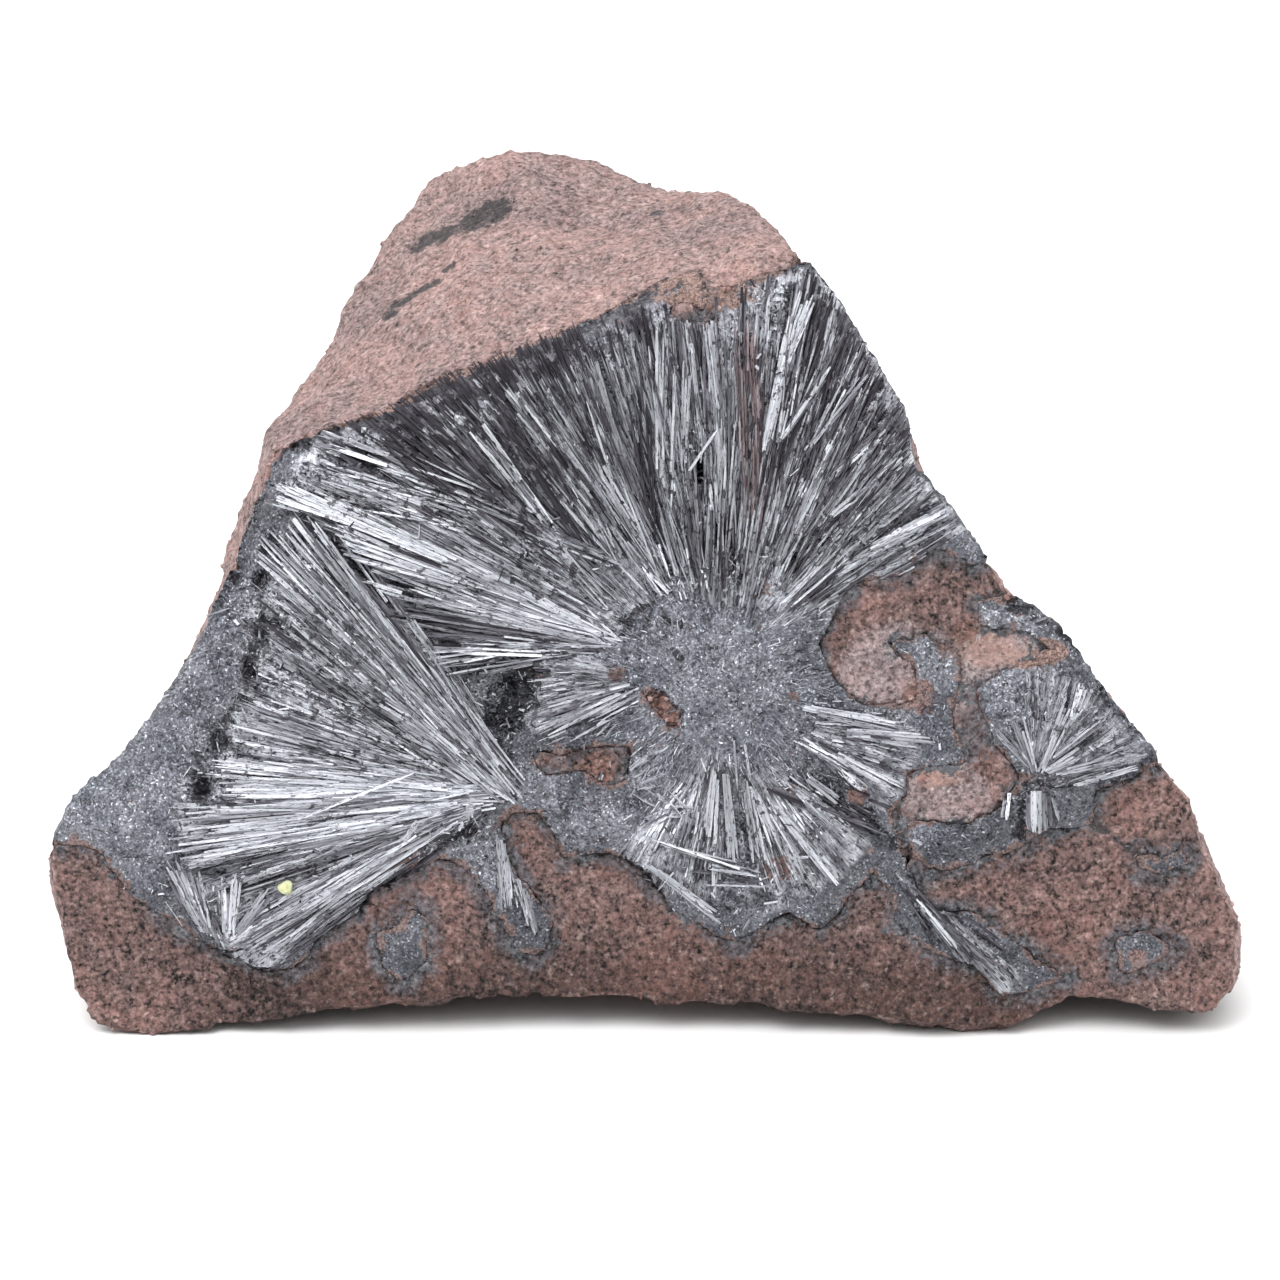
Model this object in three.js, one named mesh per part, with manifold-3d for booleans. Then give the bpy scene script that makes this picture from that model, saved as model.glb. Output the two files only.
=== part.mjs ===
// Pyrolusite on sandstone: a triangular block of sandstone whose broken front face
// carries a crust of radiating, fibrous pyrolusite. Millimetres, +Z up.
//
// Every outline is drawn on the front face, in the face's own frame: x to the right,
// y up the face, z out of it. The face leans back from the vertical by FACE_LEAN.

import * as THREE from 'three';
import Module from 'manifold-3d';
import { mergeVertices } from 'three/addons/utils/BufferGeometryUtils.js';
import { ImprovedNoise } from 'three/addons/math/ImprovedNoise.js';

const wasm = await Module();
wasm.setup();

// ---------------------------------------------------------------- driving dimensions

const FACE_LEAN = THREE.MathUtils.degToRad(18);
const FACE_ORIGIN = [-0.1, -28.6, 0];     // where the face frame's origin stands, on the ground
const CRUST_STEP = 0.5;               // how far the crust stands proud of the broken sandstone
const GAP = 0.3;                      // clearance between crust and sandstone
const CRUST_REACH = 4;                // how far a crust cutter reaches in front of the face
const DEEP = 20;                      // deeper than any part of the crust

const BLADE_ROOT = 1.2;               // how far the fans reach down into the crust
const VALLEY = 0.5;                   // height of the grooves between their blades
const EDGE_MARGIN = 0.5;              // blades end this far inside the edge of the face

const RING_POINTS = 96;                // round the sandstone block; half as many round the crust
const FACE_ROWS = 6;
const SHOULDER_ROWS = 4;
const SIDE_ROWS = 5;
const BACK_ROWS = 4;
const ROWS = FACE_ROWS + SHOULDER_ROWS + SIDE_ROWS + BACK_ROWS;

const FACE_CENTRE = [0, 26, 0];
const BACK_CENTRE = [-4, 37, 43];

// Outline of the front face, clockwise from the left tip: [x, y].
const FACE_OUTLINE = [
  [-45, 12], [-45, 14.5], [-43.5, 18.5], [-40, 21.5], [-36.5, 26], [-33.5, 30.5],
  [-32.5, 33.5], [-29.5, 39.5], [-27.5, 44.5], [-24, 46], [-19, 47.5], [-16.5, 49],
  [-11.5, 50.5], [-6.5, 52.5], [-0.5, 55.5], [4, 57.5], [8.5, 59], [11, 60],
  [13.5, 57], [16.5, 52.5], [19.5, 47.5], [20, 43.5], [23, 40], [25.5, 36.5],
  [27.5, 33.5], [31, 31.5], [33, 28.5], [35.5, 25], [38, 22], [41, 18],
  [42, 14.5], [45, 8.5], [44, 4], [42, 2], [38, 2.5], [32.5, 3],
  [27.5, 1], [21.5, 1.5], [8.5, 2.5], [0, 2.5], [-8.5, 3], [-16.5, 3],
  [-22.5, 2.5], [-31, 1], [-38, 0], [-42, 1], [-44, 4], [-44.5, 8.5],
];

// Shoulder line behind the face, far back where the weathered top slopes away:
// [station on the face outline, x, y, depth behind the face].
const SHOULDER = [
  [0, -45.5, 12.5, 7], [2, -42.5, 17, 8], [3, -39.5, 20.5, 9], [4, -36.5, 26, 9], [6, -33.4, 35.3, 8],
  [7, -31.5, 40.5, 9], [8, -30.3, 46.5, 12], [9, -25.5, 54, 18], [10, -23, 60, 23],
  [11, -20, 65.5, 26], [12, -17.5, 71, 29], [13, -13.2, 76, 32], [14, -5, 70.5, 28],
  [15, 1, 67, 22], [16, 6, 65.5, 14], [17, 10.5, 62, 5], [18, 14.5, 57.5, 6],
  [20, 20, 47.5, 7], [21, 21.5, 42.5, 7], [22, 23.5, 39.5, 7], [24, 28.5, 34, 7], [26, 34, 29, 7],
  [28, 39, 22.5, 7], [30, 43, 15, 8], [31, 45.5, 8.5, 6], [32, 45, 4.5, 6],
  [33, 42, 3.5, 6], [35, 32, 3, 6], [36, 27.5, 0.6, 5], [37, 21.5, 1.8, 6],
  [38, 8.5, 5, 6], [40, -8.5, 5, 6], [43, -31, 2, 6], [44, -38, 0.4, 5],
  [45, -42, 1.2, 5], [46, -45, 5, 6],
];

// Rim of the back, in the same form.
const BACK_RIM = [
  [0, -39, 19, 29], [3, -36, 27, 32], [6, -30, 38, 34], [8, -27, 49, 37],
  [10, -22, 60, 39], [12, -16, 66.5, 41], [13, -11, 68, 41], [14, -4, 65, 40],
  [16, 5, 60, 36], [18, 13, 52, 33], [20, 18, 45, 32], [22, 22, 38, 32],
  [25, 28, 31, 32], [28, 33, 24, 30], [30, 36, 19, 28], [32, 36, 14, 27],
  [35, 28, 11, 27], [37, 16, 11.5, 33], [38, 8, 11.3, 36], [40, -9, 11.3, 36],
  [42, -20, 12.5, 33], [44, -30, 13, 29], [46, -36, 15, 28],
];

// Outline of the main crust, from the left tip along its lower edge and back round the
// top. Where it meets the edge of the face it runs past it.
const CRUST_OUTLINE = [
  [-47, 14.5], [-43.5, 15], [-41.5, 14.5], [-39, 11], [-36, 9], [-32.5, 7],
  [-29, 5.5], [-27.5, 5.5], [-26, 6.5], [-25.5, 8], [-22.5, 9.5], [-21.5, 11.5],
  [-18.5, 13], [-15.5, 14], [-14, 13.5], [-12, 11], [-11, 9], [-10, 7],
  [-9, 6.5], [-8, 7], [-7.5, 9], [-9, 11], [-10, 12], [-11, 14],
  [-11.5, 16.5], [-10.5, 17.5], [-8.5, 17.5], [-7, 16], [-6.5, 14], [-3, 14.5],
  [-0.5, 13.5], [1, 11.5], [2, 10], [6.5, 7.5], [10.5, 10], [13, 8.5],
  [15.5, 11.5], [17, 13], [18.5, 11.5], [19, 9], [21, 7], [24.5, 6],
  [27, 3.5], [31.5, 4.5], [29, 6], [27.5, 7.5], [24.5, 9.5], [21.5, 9.5],
  [20, 11.5], [18, 17.5], [19.5, 18.5], [19.5, 20.5], [24, 21], [23, 24],
  [23.5, 29], [21, 30.5], [18.5, 30], [20.5, 28], [20.5, 25.5], [16, 25],
  [13.5, 27.5], [12.5, 30], [14.5, 33.5], [16, 35], [19.5, 35.5], [21.5, 37.5],
  [25, 36], [27.5, 37], [24.5, 41.5], [22, 44.5], [21.5, 48.5], [18, 54],
  [14.5, 59.5], [12, 58.8], [8.5, 57.8], [4.5, 56.5], [3.5, 59], [-1, 57.5],
  [-7, 54.5], [-12, 52.5], [-17, 51], [-19, 49.5], [-24, 48], [-29, 46.5],
  [-31.5, 40], [-31, 35.5], [-34.5, 34.5], [-35.5, 31], [-38.5, 27], [-42, 23],
  [-45.5, 19.5],
];

// Places where the sandstone shows through the crust.
const CRUST_WINDOWS = [
  [[-9, 22], [-6.5, 21.5], [-4, 22.5], [-1, 22.5], [-1.5, 19.5], [-3, 19], [-5, 20.5], [-8, 20]],
  [[-0.5, 26.5], [1, 26.5], [2.5, 24.5], [2, 23.5], [0.5, 25]],
  [[1, 55.5], [3, 56], [5, 55.2], [5.5, 54], [2.5, 54]],
];

const SPRAY_OUTLINE = [
  [25, 33], [28, 33.5], [30, 32.5], [33, 30.5], [34, 27.5], [36.5, 25],
  [38, 22.5], [38.5, 21], [36, 20], [33.5, 19], [33.5, 16.5], [30, 16],
  [27.5, 14.5], [22.5, 13], [19.8, 13.8], [19.5, 16.5], [24, 16], [27, 17.5],
  [27.5, 18.5], [28.5, 20], [27, 22], [26, 23], [25, 26.5], [28, 28.5],
  [31, 29.5], [29, 31], [25, 31.5],
];

const LOW_PATCH_OUTLINE = [
  [-18, 10], [-17, 9.5], [-17, 6], [-18.5, 4.5], [-20, 5.5], [-20.5, 8], [-19, 8.5],
];
const SIDE_PATCH_OUTLINE = [
  [35.5, 7.5], [37.5, 8], [39.5, 7], [38.5, 6], [36, 5.2],
];
const VEIN_PATCH_OUTLINE = [
  [37, 14], [39, 13.6], [40.5, 14.2], [40.5, 13.4], [39, 12.8], [37.5, 13],
];

const SANDSTONE = new THREE.MeshStandardMaterial({
  name: 'sandstone', color: 0xa38a86, roughness: 0.95, metalness: 0,
});
const PYROLUSITE = new THREE.MeshStandardMaterial({
  name: 'pyrolusite', color: 0x8f9199, roughness: 0.35, metalness: 0.85,
});

// ---------------------------------------------------------------- solids and meshes

function toSolid(geometry) {
  const bare = geometry.index ? geometry.clone() : geometry;
  bare.deleteAttribute('normal');
  bare.deleteAttribute('uv');
  const merged = mergeVertices(bare, 1e-4);
  return new wasm.Manifold(new wasm.Mesh({
    numProp: 3,
    vertProperties: Float32Array.from(merged.attributes.position.array),
    triVerts: Uint32Array.from(merged.index.array),
  }));
}

function toMesh(solid, name, material) {
  const { vertProperties, triVerts } = solid.getMesh();
  const geometry = new THREE.BufferGeometry();
  geometry.setAttribute('position', new THREE.BufferAttribute(vertProperties, 3));
  geometry.setIndex(new THREE.BufferAttribute(triVerts, 1));
  geometry.computeVertexNormals();
  const mesh = new THREE.Mesh(geometry, material);
  mesh.name = name;
  return mesh;
}

// The main body of a cut solid, without the chips that a cut leaves loose.
function mainBody(solid) {
  const bodies = solid.decompose();
  return bodies.reduce((best, body) => (body.volume() > best.volume() ? body : best));
}

// A repeatable number from 0 to 1 for item i, drawn for the use named by k.
function chance(i, k) {
  const value = Math.sin(i * 12.9898 + k * 78.233) * 43758.5453;
  return value - Math.floor(value);
}

// ---------------------------------------------------------------- the block of sandstone

const noise = new ImprovedNoise();

function keyed(list, station, stations) {
  let next = list.findIndex((row) => row[0] > station);
  if (next < 0) next = 0;
  const from = list[(next + list.length - 1) % list.length];
  const to = list[next];
  const span = (to[0] - from[0] + stations) % stations;
  const mix = ((station - from[0] + stations) % stations) / span;
  return new THREE.Vector3(
    THREE.MathUtils.lerp(from[1], to[1], mix),
    THREE.MathUtils.lerp(from[2], to[2], mix),
    -THREE.MathUtils.lerp(from[3], to[3], mix),
  );
}

const FACE_RIM = FACE_OUTLINE.map(([x, y], station) => [station, x, y, 0]);

// A point of the bare block, from its ring position and row between front and back.
function blockPoint(station, row, faceSink) {
  const stations = FACE_OUTLINE.length;
  const face = keyed(FACE_RIM, station, stations);
  const shoulder = keyed(SHOULDER, station, stations);
  const back = keyed(BACK_RIM, station, stations);
  if (row <= FACE_ROWS) {
    const point = new THREE.Vector3(...FACE_CENTRE).lerp(face, row / FACE_ROWS);
    point.z -= faceSink;
    return point;
  }
  if (row <= FACE_ROWS + SHOULDER_ROWS) {
    face.z -= faceSink;
    return face.lerp(shoulder, (row - FACE_ROWS) / SHOULDER_ROWS);
  }
  if (row <= ROWS - BACK_ROWS) {
    return shoulder.lerp(back, (row - FACE_ROWS - SHOULDER_ROWS) / SIDE_ROWS);
  }
  const mix = (row - (ROWS - BACK_ROWS)) / BACK_ROWS;
  const centre = new THREE.Vector3(BACK_CENTRE[0], BACK_CENTRE[1], -BACK_CENTRE[2]);
  return back.lerp(centre, mix);
}

// Lumps of two sizes and broken ledges, in millimetres, at a point of the surface.
function roughness(point, lump, ledge) {
  const coarse = noise.noise(point.x / 15, point.y / 15, point.z / 15);
  const fine = noise.noise(point.x / 5.5, point.y / 5.5, point.z / 5.5 + 9);
  const step = noise.noise(point.x / 11 + 4, point.y / 8, point.z / 11);
  return lump * (coarse + 0.45 * fine) + ledge * Math.round(step * 3) / 3;
}

function blockSolid(faceSink, ringPoints, faceLump) {
  const geometry = new THREE.SphereGeometry(1, ringPoints, ROWS);
  geometry.deleteAttribute('normal');
  geometry.deleteAttribute('uv');
  const ball = mergeVertices(geometry, 1e-5);
  const position = ball.attributes.position;
  const rows = [];
  const point = new THREE.Vector3();
  for (let i = 0; i < position.count; i += 1) {
    point.fromBufferAttribute(position, i);
    const row = Math.round(Math.acos(THREE.MathUtils.clamp(point.y, -1, 1)) / Math.PI * ROWS);
    const turn = -Math.atan2(point.z, -point.x) / (2 * Math.PI);
    const pole = row === 0 || row === ROWS;
    const ringPoint = pole ? 0 : Math.round((turn + 1) * ringPoints) % ringPoints;
    const station = ringPoint * FACE_OUTLINE.length / ringPoints;
    rows.push(row);
    position.setXYZ(i, ...blockPoint(station, row, faceSink).toArray());
  }
  ball.computeVertexNormals();
  const normal = new THREE.Vector3();
  for (let i = 0; i < position.count; i += 1) {
    point.fromBufferAttribute(position, i);
    normal.fromBufferAttribute(ball.attributes.normal, i);
    const row = rows[i];
    const onFace = row <= FACE_ROWS;
    const onTop = row <= FACE_ROWS + SHOULDER_ROWS;
    let lump = 2.6;
    let ledge = 1.6;
    if (onTop) {
      lump = 1.5;
      ledge = 0.7;
    }
    if (onFace) {
      lump = faceLump;
      ledge = 0.5 * faceLump;
      normal.set(0, 0, 1);
    }
    point.addScaledVector(normal, roughness(point, lump, ledge));
    position.setXYZ(i, point.x, point.y, point.z);
  }
  return toSolid(ball);
}

// ---------------------------------------------------------------- cutters for the crust

// Moves every edge of a closed outline out by a distance; corners are mitred.
function grown(outline, distance) {
  const points = outline.map(([x, y]) => new THREE.Vector2(x, y));
  const outward = THREE.ShapeUtils.isClockWise(points) ? -1 : 1;
  return points.map((here, i) => {
    const before = points[(i + points.length - 1) % points.length];
    const after = points[(i + 1) % points.length];
    const into = here.clone().sub(before).normalize();
    const out = after.clone().sub(here).normalize();
    const normal = new THREE.Vector2(into.y + out.y, -into.x - out.x).normalize();
    const mitre = Math.max(0.5, normal.dot(new THREE.Vector2(into.y, -into.x)));
    const moved = here.clone().addScaledVector(normal, outward * distance / mitre);
    return [moved.x, moved.y];
  });
}

// How deep the crust goes: thin along the top ridge, deeper below it and at the left edge.
function crustDepth(x, y) {
  const ridge = 55.5 + 0.4 * x;
  const deepest = THREE.MathUtils.mapLinear(THREE.MathUtils.clamp(x, -38, -20), -38, -20, 8, 3.2);
  return THREE.MathUtils.clamp(1.2 + 0.5 * (ridge - y), 1, deepest);
}

// A slab over the whole face, from the floor of the crust to well in front of it.
function slabAbove(depthAt, grow) {
  const slab = new THREE.BoxGeometry(120, 90, 1, 12, 9, 1);
  slab.translate(-5, 30, 0);
  const position = slab.attributes.position;
  for (let i = 0; i < position.count; i += 1) {
    const floor = -depthAt(position.getX(i), position.getY(i)) - grow;
    position.setZ(i, position.getZ(i) < 0 ? floor : CRUST_REACH);
  }
  return toSolid(slab);
}

function cutter(outline, windows, depthAt, grow) {
  const shape = new THREE.Shape(grown(outline, grow).map(([x, y]) => new THREE.Vector2(x, y)));
  shape.holes = windows.map((window) => (
    new THREE.Path(grown(window, -grow).map(([x, y]) => new THREE.Vector2(x, y)))
  ));
  const geometry = new THREE.ExtrudeGeometry(shape, { depth: 2 * DEEP, bevelEnabled: false });
  geometry.translate(0, 0, -DEEP);
  return toSolid(geometry).intersect(slabAbove(depthAt, grow));
}

// ---------------------------------------------------------------- blades and lumps

// Fans of blades that lie side by side: centre, first and last direction in degrees,
// near and far radius, number of blades and how far their crests stand out.
const FANS = [
  { centre: [6, 29], from: 46, to: 78, near: 8, far: 24, blades: 8, crest: 1.1 },
  { centre: [6, 29], from: 76, to: 112, near: 9, far: 25, blades: 8, crest: 0.8 },
  { centre: [4, 28], from: 110, to: 153, near: 13, far: 34, blades: 8, crest: 1.3 },
  { centre: [-10, 19], from: 120, to: 150, near: 3, far: 24, blades: 6, crest: 1.5 },
  { centre: [-10, 19], from: 152, to: 178, near: 4, far: 22, blades: 6, crest: 1 },
  { centre: [-10, 19], from: 180, to: 216, near: 3, far: 26, blades: 7, crest: 1.3 },
  { centre: [-0.5, 27.5], from: 158, to: 208, near: 2, far: 9, blades: 5, crest: 0.8 },
  { centre: [5.5, 22.5], from: 228, to: 330, near: 3, far: 13, blades: 9, crest: 1 },
  { centre: [10, 24], from: -42, to: -2, near: 2, far: 9, blades: 4, crest: 0.9 },
  { centre: [-32, 6.5], from: 66, to: 124, near: 1, far: 6.5, blades: 4, crest: 0.8 },
  { centre: [18, 13.5], from: -54, to: -40, near: 1, far: 13, blades: 2, crest: 0.9 },
];

const SPRAY_FANS = [
  { centre: [29, 19.5], from: 5, to: 128, near: 1.2, far: 9, blades: 8, crest: 1 },
  { centre: [29, 18.5], from: 190, to: 218, near: 1, far: 8.5, blades: 3, crest: 0.8 },
];

// How far a ray from a point on the face runs before it leaves the face.
function edgeDistance([x, y], angle) {
  const ray = new THREE.Vector2(Math.cos(angle), Math.sin(angle));
  const distances = FACE_OUTLINE.map(([ax, ay], i) => {
    const [bx, by] = FACE_OUTLINE[(i + 1) % FACE_OUTLINE.length];
    const edge = new THREE.Vector2(bx - ax, by - ay);
    const offset = new THREE.Vector2(ax - x, ay - y);
    const spread = ray.cross(edge);
    const along = offset.cross(edge) / spread;
    const part = offset.cross(ray) / spread;
    return along > 0 && part >= 0 && part <= 1 ? along : Infinity;
  });
  return Math.min(...distances);
}

// One fan: a slab bent round its centre, whose upper side is folded into a crest for
// each blade, and whose outer end is as ragged as the blades' tips.
function fanSolid(fan, seed) {
  const folds = 2 * fan.blades;
  const slab = new THREE.BoxGeometry(folds, 2, 1, folds, 2, 1);
  const position = slab.attributes.position;
  for (let i = 0; i < position.count; i += 1) {
    const fold = Math.round(folds / 2 - position.getX(i));
    const row = Math.round(position.getY(i) + 1);
    const onCrest = fold % 2 === 1;
    const upper = position.getZ(i) > 0;
    const item = seed + fold;
    const spread = (fold + 0.7 * (chance(item, 1) - 0.5)) / folds;
    const angle = THREE.MathUtils.degToRad(THREE.MathUtils.lerp(fan.from, fan.to, spread));
    const far = Math.min(fan.far, edgeDistance(fan.centre, angle) - EDGE_MARGIN);
    const reach = far * (onCrest ? 0.93 + 0.07 * chance(item, 2) : 0.86);
    const start = fan.near * (1 + 0.5 * chance(item, 3));
    const radius = [start, 0.5 * (start + reach), reach][row];
    const crest = fan.crest * (0.6 + 0.7 * chance(item, 4)) * [0.3, 1, 0.75][row];
    position.setXYZ(
      i,
      fan.centre[0] + radius * Math.cos(angle),
      fan.centre[1] + radius * Math.sin(angle),
      upper ? VALLEY + (onCrest ? crest : 0) : -BLADE_ROOT,
    );
  }
  return toSolid(slab);
}

// Single blades that cross the fans: root, tip and width.
const LONE_BLADES = [
  { root: [-0.5, 16], tip: [9, 12], width: 1.2 },
  { root: [13.5, 22.5], tip: [18.6, 19.2], width: 1.3 },
  { root: [15.8, 36.2], tip: [22.2, 40.3], width: 1.2 },
];

function loneBlade({ root, tip, width }) {
  const length = Math.hypot(tip[0] - root[0], tip[1] - root[1]);
  const geometry = new THREE.CylinderGeometry(0.5 * width, 0.25 * width, length, 4, 1);
  geometry.scale(1, 1, 1.5);
  geometry.rotateZ(Math.atan2(tip[1] - root[1], tip[0] - root[0]) - Math.PI / 2);
  geometry.translate((root[0] + tip[0]) / 2, (root[1] + tip[1]) / 2, 0.7);
  return toSolid(geometry);
}

// Mounds of granular ore: middle, half sizes across, up and out, and fineness.
const MOUNDS = [
  { at: [5.5, 27.5], half: [9.5, 10, 1.3], detail: 3 },
  { at: [-3.5, 16.5], half: [4.5, 1.8, 1], detail: 1 },
  { at: [-38, 17], half: [4.2, 4, 1], detail: 2 },
];

function mound({ at, half, detail }) {
  const ball = new THREE.IcosahedronGeometry(1, detail);
  const position = ball.attributes.position;
  const point = new THREE.Vector3();
  for (let i = 0; i < position.count; i += 1) {
    point.fromBufferAttribute(position, i);
    const bulge = noise.noise(1.6 * point.x + at[0] + 0.3, 1.6 * point.y, 1.6 * point.z);
    const lump = noise.noise(4.5 * point.x, 4.5 * point.y + at[0] + 0.3, 4.5 * point.z);
    point.multiplyScalar(1 + 0.5 * bulge + 0.35 * lump).multiply(new THREE.Vector3(...half));
    position.setXYZ(i, point.x + at[0], point.y + at[1], point.z);
  }
  return toSolid(ball);
}

// Pits in the crust: middle and half sizes across, up and into the face.
const PITS = [
  { at: [-10.5, 25.5], half: [2.6, 3.1, 2] },
  { at: [3.8, 43.2], half: [0.9, 1.4, 2] },
  { at: [-29.4, 35], half: [0.9, 1.3, 1.6] },
  { at: [-30.3, 28], half: [0.9, 1.6, 1.6] },
  { at: [-32.3, 22.5], half: [1, 1.4, 1.6] },
  { at: [-33.8, 19.2], half: [1.3, 1, 1.6] },
];

function pit({ at, half }) {
  const geometry = new THREE.IcosahedronGeometry(1, 0);
  geometry.scale(...half);
  geometry.translate(at[0], at[1], 0.4);
  return toSolid(geometry);
}

// ---------------------------------------------------------------- assembly

const ground = new THREE.BoxGeometry(200, 200, 40);
ground.translate(0, 0, -20);
ground.rotateX(FACE_LEAN - Math.PI / 2);
const groundSolid = toSolid(ground);

// Broken faces round the back: a point on each and the way it looks.
const BREAKS = [
  { at: [-24, 30, -33], out: [-0.75, 0.1, -0.65] },
  { at: [14, 30, -33], out: [0.62, 0.2, -0.75] },
  { at: [-6, 60, -38], out: [-0.05, 0.72, -0.69] },
];

function breakSolid({ at, out }) {
  const slab = new THREE.BoxGeometry(160, 160, 60);
  slab.translate(0, 0, 30);
  const turn = new THREE.Quaternion().setFromUnitVectors(
    new THREE.Vector3(0, 0, 1),
    new THREE.Vector3(...out).normalize(),
  );
  slab.applyQuaternion(turn);
  slab.translate(...at);
  return toSolid(slab);
}

const outside = [groundSolid, ...BREAKS.map(breakSolid)];
const trimmed = (block) => outside.reduce((solid, part) => solid.subtract(part), block);
const sunkBlock = trimmed(blockSolid(CRUST_STEP, RING_POINTS, 1.1));
const proudBlock = trimmed(blockSolid(0, RING_POINTS / 2, 0.5));

const patchDepth = () => 1.6;
const sprayDepth = () => 2.6;

const crustCut = (grow) => cutter(CRUST_OUTLINE, CRUST_WINDOWS, crustDepth, grow);
const sprayCut = (grow) => cutter(SPRAY_OUTLINE, [], sprayDepth, grow);

const grownOnCrust = [
  ...FANS.map((fan, i) => fanSolid(fan, 100 * i)),
  ...LONE_BLADES.map(loneBlade),
  ...MOUNDS.map(mound),
];
const grownOnSpray = SPRAY_FANS.map((fan, i) => fanSolid(fan, 2000 + 100 * i));

const join = (first, more) => more.reduce((solid, part) => solid.add(part), first);

const crust = PITS.map(pit).reduce(
  (solid, hollow) => solid.subtract(hollow),
  join(proudBlock, grownOnCrust).intersect(crustCut(0)),
);
const spray = join(proudBlock, grownOnSpray).intersect(sprayCut(0));

const patches = {
  pyrolusite_low_patch: LOW_PATCH_OUTLINE,
  pyrolusite_side_patch: SIDE_PATCH_OUTLINE,
  pyrolusite_vein_patch: VEIN_PATCH_OUTLINE,
};

let matrix = sunkBlock.subtract(crustCut(GAP)).subtract(sprayCut(GAP));
for (const outline of Object.values(patches)) {
  matrix = matrix.subtract(cutter(outline, [], patchDepth, GAP));
}

const specimen = new THREE.Group();
specimen.add(toMesh(mainBody(matrix), 'matrix', SANDSTONE));
specimen.add(toMesh(mainBody(crust), 'pyrolusite_crust', PYROLUSITE));
specimen.add(toMesh(mainBody(spray), 'pyrolusite_corner_spray', PYROLUSITE));
for (const [name, outline] of Object.entries(patches)) {
  const patch = proudBlock.intersect(cutter(outline, [], patchDepth, 0));
  specimen.add(toMesh(mainBody(patch), name, PYROLUSITE));
}
specimen.rotation.x = Math.PI / 2 - FACE_LEAN;
specimen.position.set(...FACE_ORIGIN);

export default specimen;
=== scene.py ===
"""Pyrolusite specimen: silver needle fans and glittering ore on a wedge of reddish sandstone.

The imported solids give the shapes. This script gives them their skins, lays the needles,
grains and felt on them, and sets the floor, light and camera.
"""
import math

import bmesh
import bpy
import numpy as np
from bpy.props import FloatProperty, FloatVectorProperty, IntProperty, PointerProperty
from mathutils import Matrix, Vector, noise
from mathutils.bvhtree import BVHTree


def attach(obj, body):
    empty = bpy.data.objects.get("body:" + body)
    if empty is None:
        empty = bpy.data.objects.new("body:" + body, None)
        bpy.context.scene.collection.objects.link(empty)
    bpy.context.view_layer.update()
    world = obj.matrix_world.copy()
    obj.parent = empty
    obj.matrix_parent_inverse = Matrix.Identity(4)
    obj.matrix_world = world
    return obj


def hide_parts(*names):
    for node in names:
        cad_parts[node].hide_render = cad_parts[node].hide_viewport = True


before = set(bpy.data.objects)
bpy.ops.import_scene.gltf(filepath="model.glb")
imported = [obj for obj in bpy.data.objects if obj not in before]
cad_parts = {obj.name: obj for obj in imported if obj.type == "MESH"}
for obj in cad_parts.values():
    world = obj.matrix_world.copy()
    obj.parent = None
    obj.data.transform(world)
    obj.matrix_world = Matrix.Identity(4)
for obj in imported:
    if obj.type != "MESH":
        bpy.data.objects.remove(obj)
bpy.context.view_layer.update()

bl_info = {
    "name": "Pyrolusite specimen",
    "version": (1, 0, 0),
    "blender": (4, 5, 0),
    "location": "View3D > Sidebar > Pyrolusite",
    "description": "Builds the sandstone, the ore and its needle fans on the packed solids",
    "category": "Object",
}

MM = 0.001
LEAN = math.radians(18)
FACE_ORIGIN = np.array([-0.1, -28.6, 0.0])
ALONG_FACE = np.array([1.0, 0.0, 0.0])
UP_FACE = np.array([0.0, math.sin(LEAN), math.cos(LEAN)])
OUT_OF_FACE = np.array([0.0, -math.cos(LEAN), math.sin(LEAN)])

STONE_NODE = "matrix"
ORE_NODES = (
    "pyrolusite_crust", "pyrolusite_corner_spray",
    "pyrolusite_low_patch", "pyrolusite_side_patch", "pyrolusite_vein_patch",
)

# Metres: the gap left under what stands on the floor, how far the stone is banked against the ore,
# how far from the ore the stone is stained, and how far from the stone the ore is.
FLOOR_GAP = 0.00001
BANK_REACH = 0.0014
STONE_STAIN_REACH = 0.0024
ORE_STAIN_REACH = 0.0013
# Millimetres out of the face: above all the ore, and what stands for no ground at all.
ABOVE_ALL, NO_GROUND = 12.0, -60.0

# ---------------------------------------------------------------- places on the broken face
# Millimetres along the face and up it. A sheet of needles is its root, its tip, its width at each,
# its tone from violet black 0 to silver 1, which is partly the needles' own colour and partly painted
# reflection and painted shade for how the sheet catches the light, the roll of its surface in degrees,
# and how far it lies above the ore.

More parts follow.
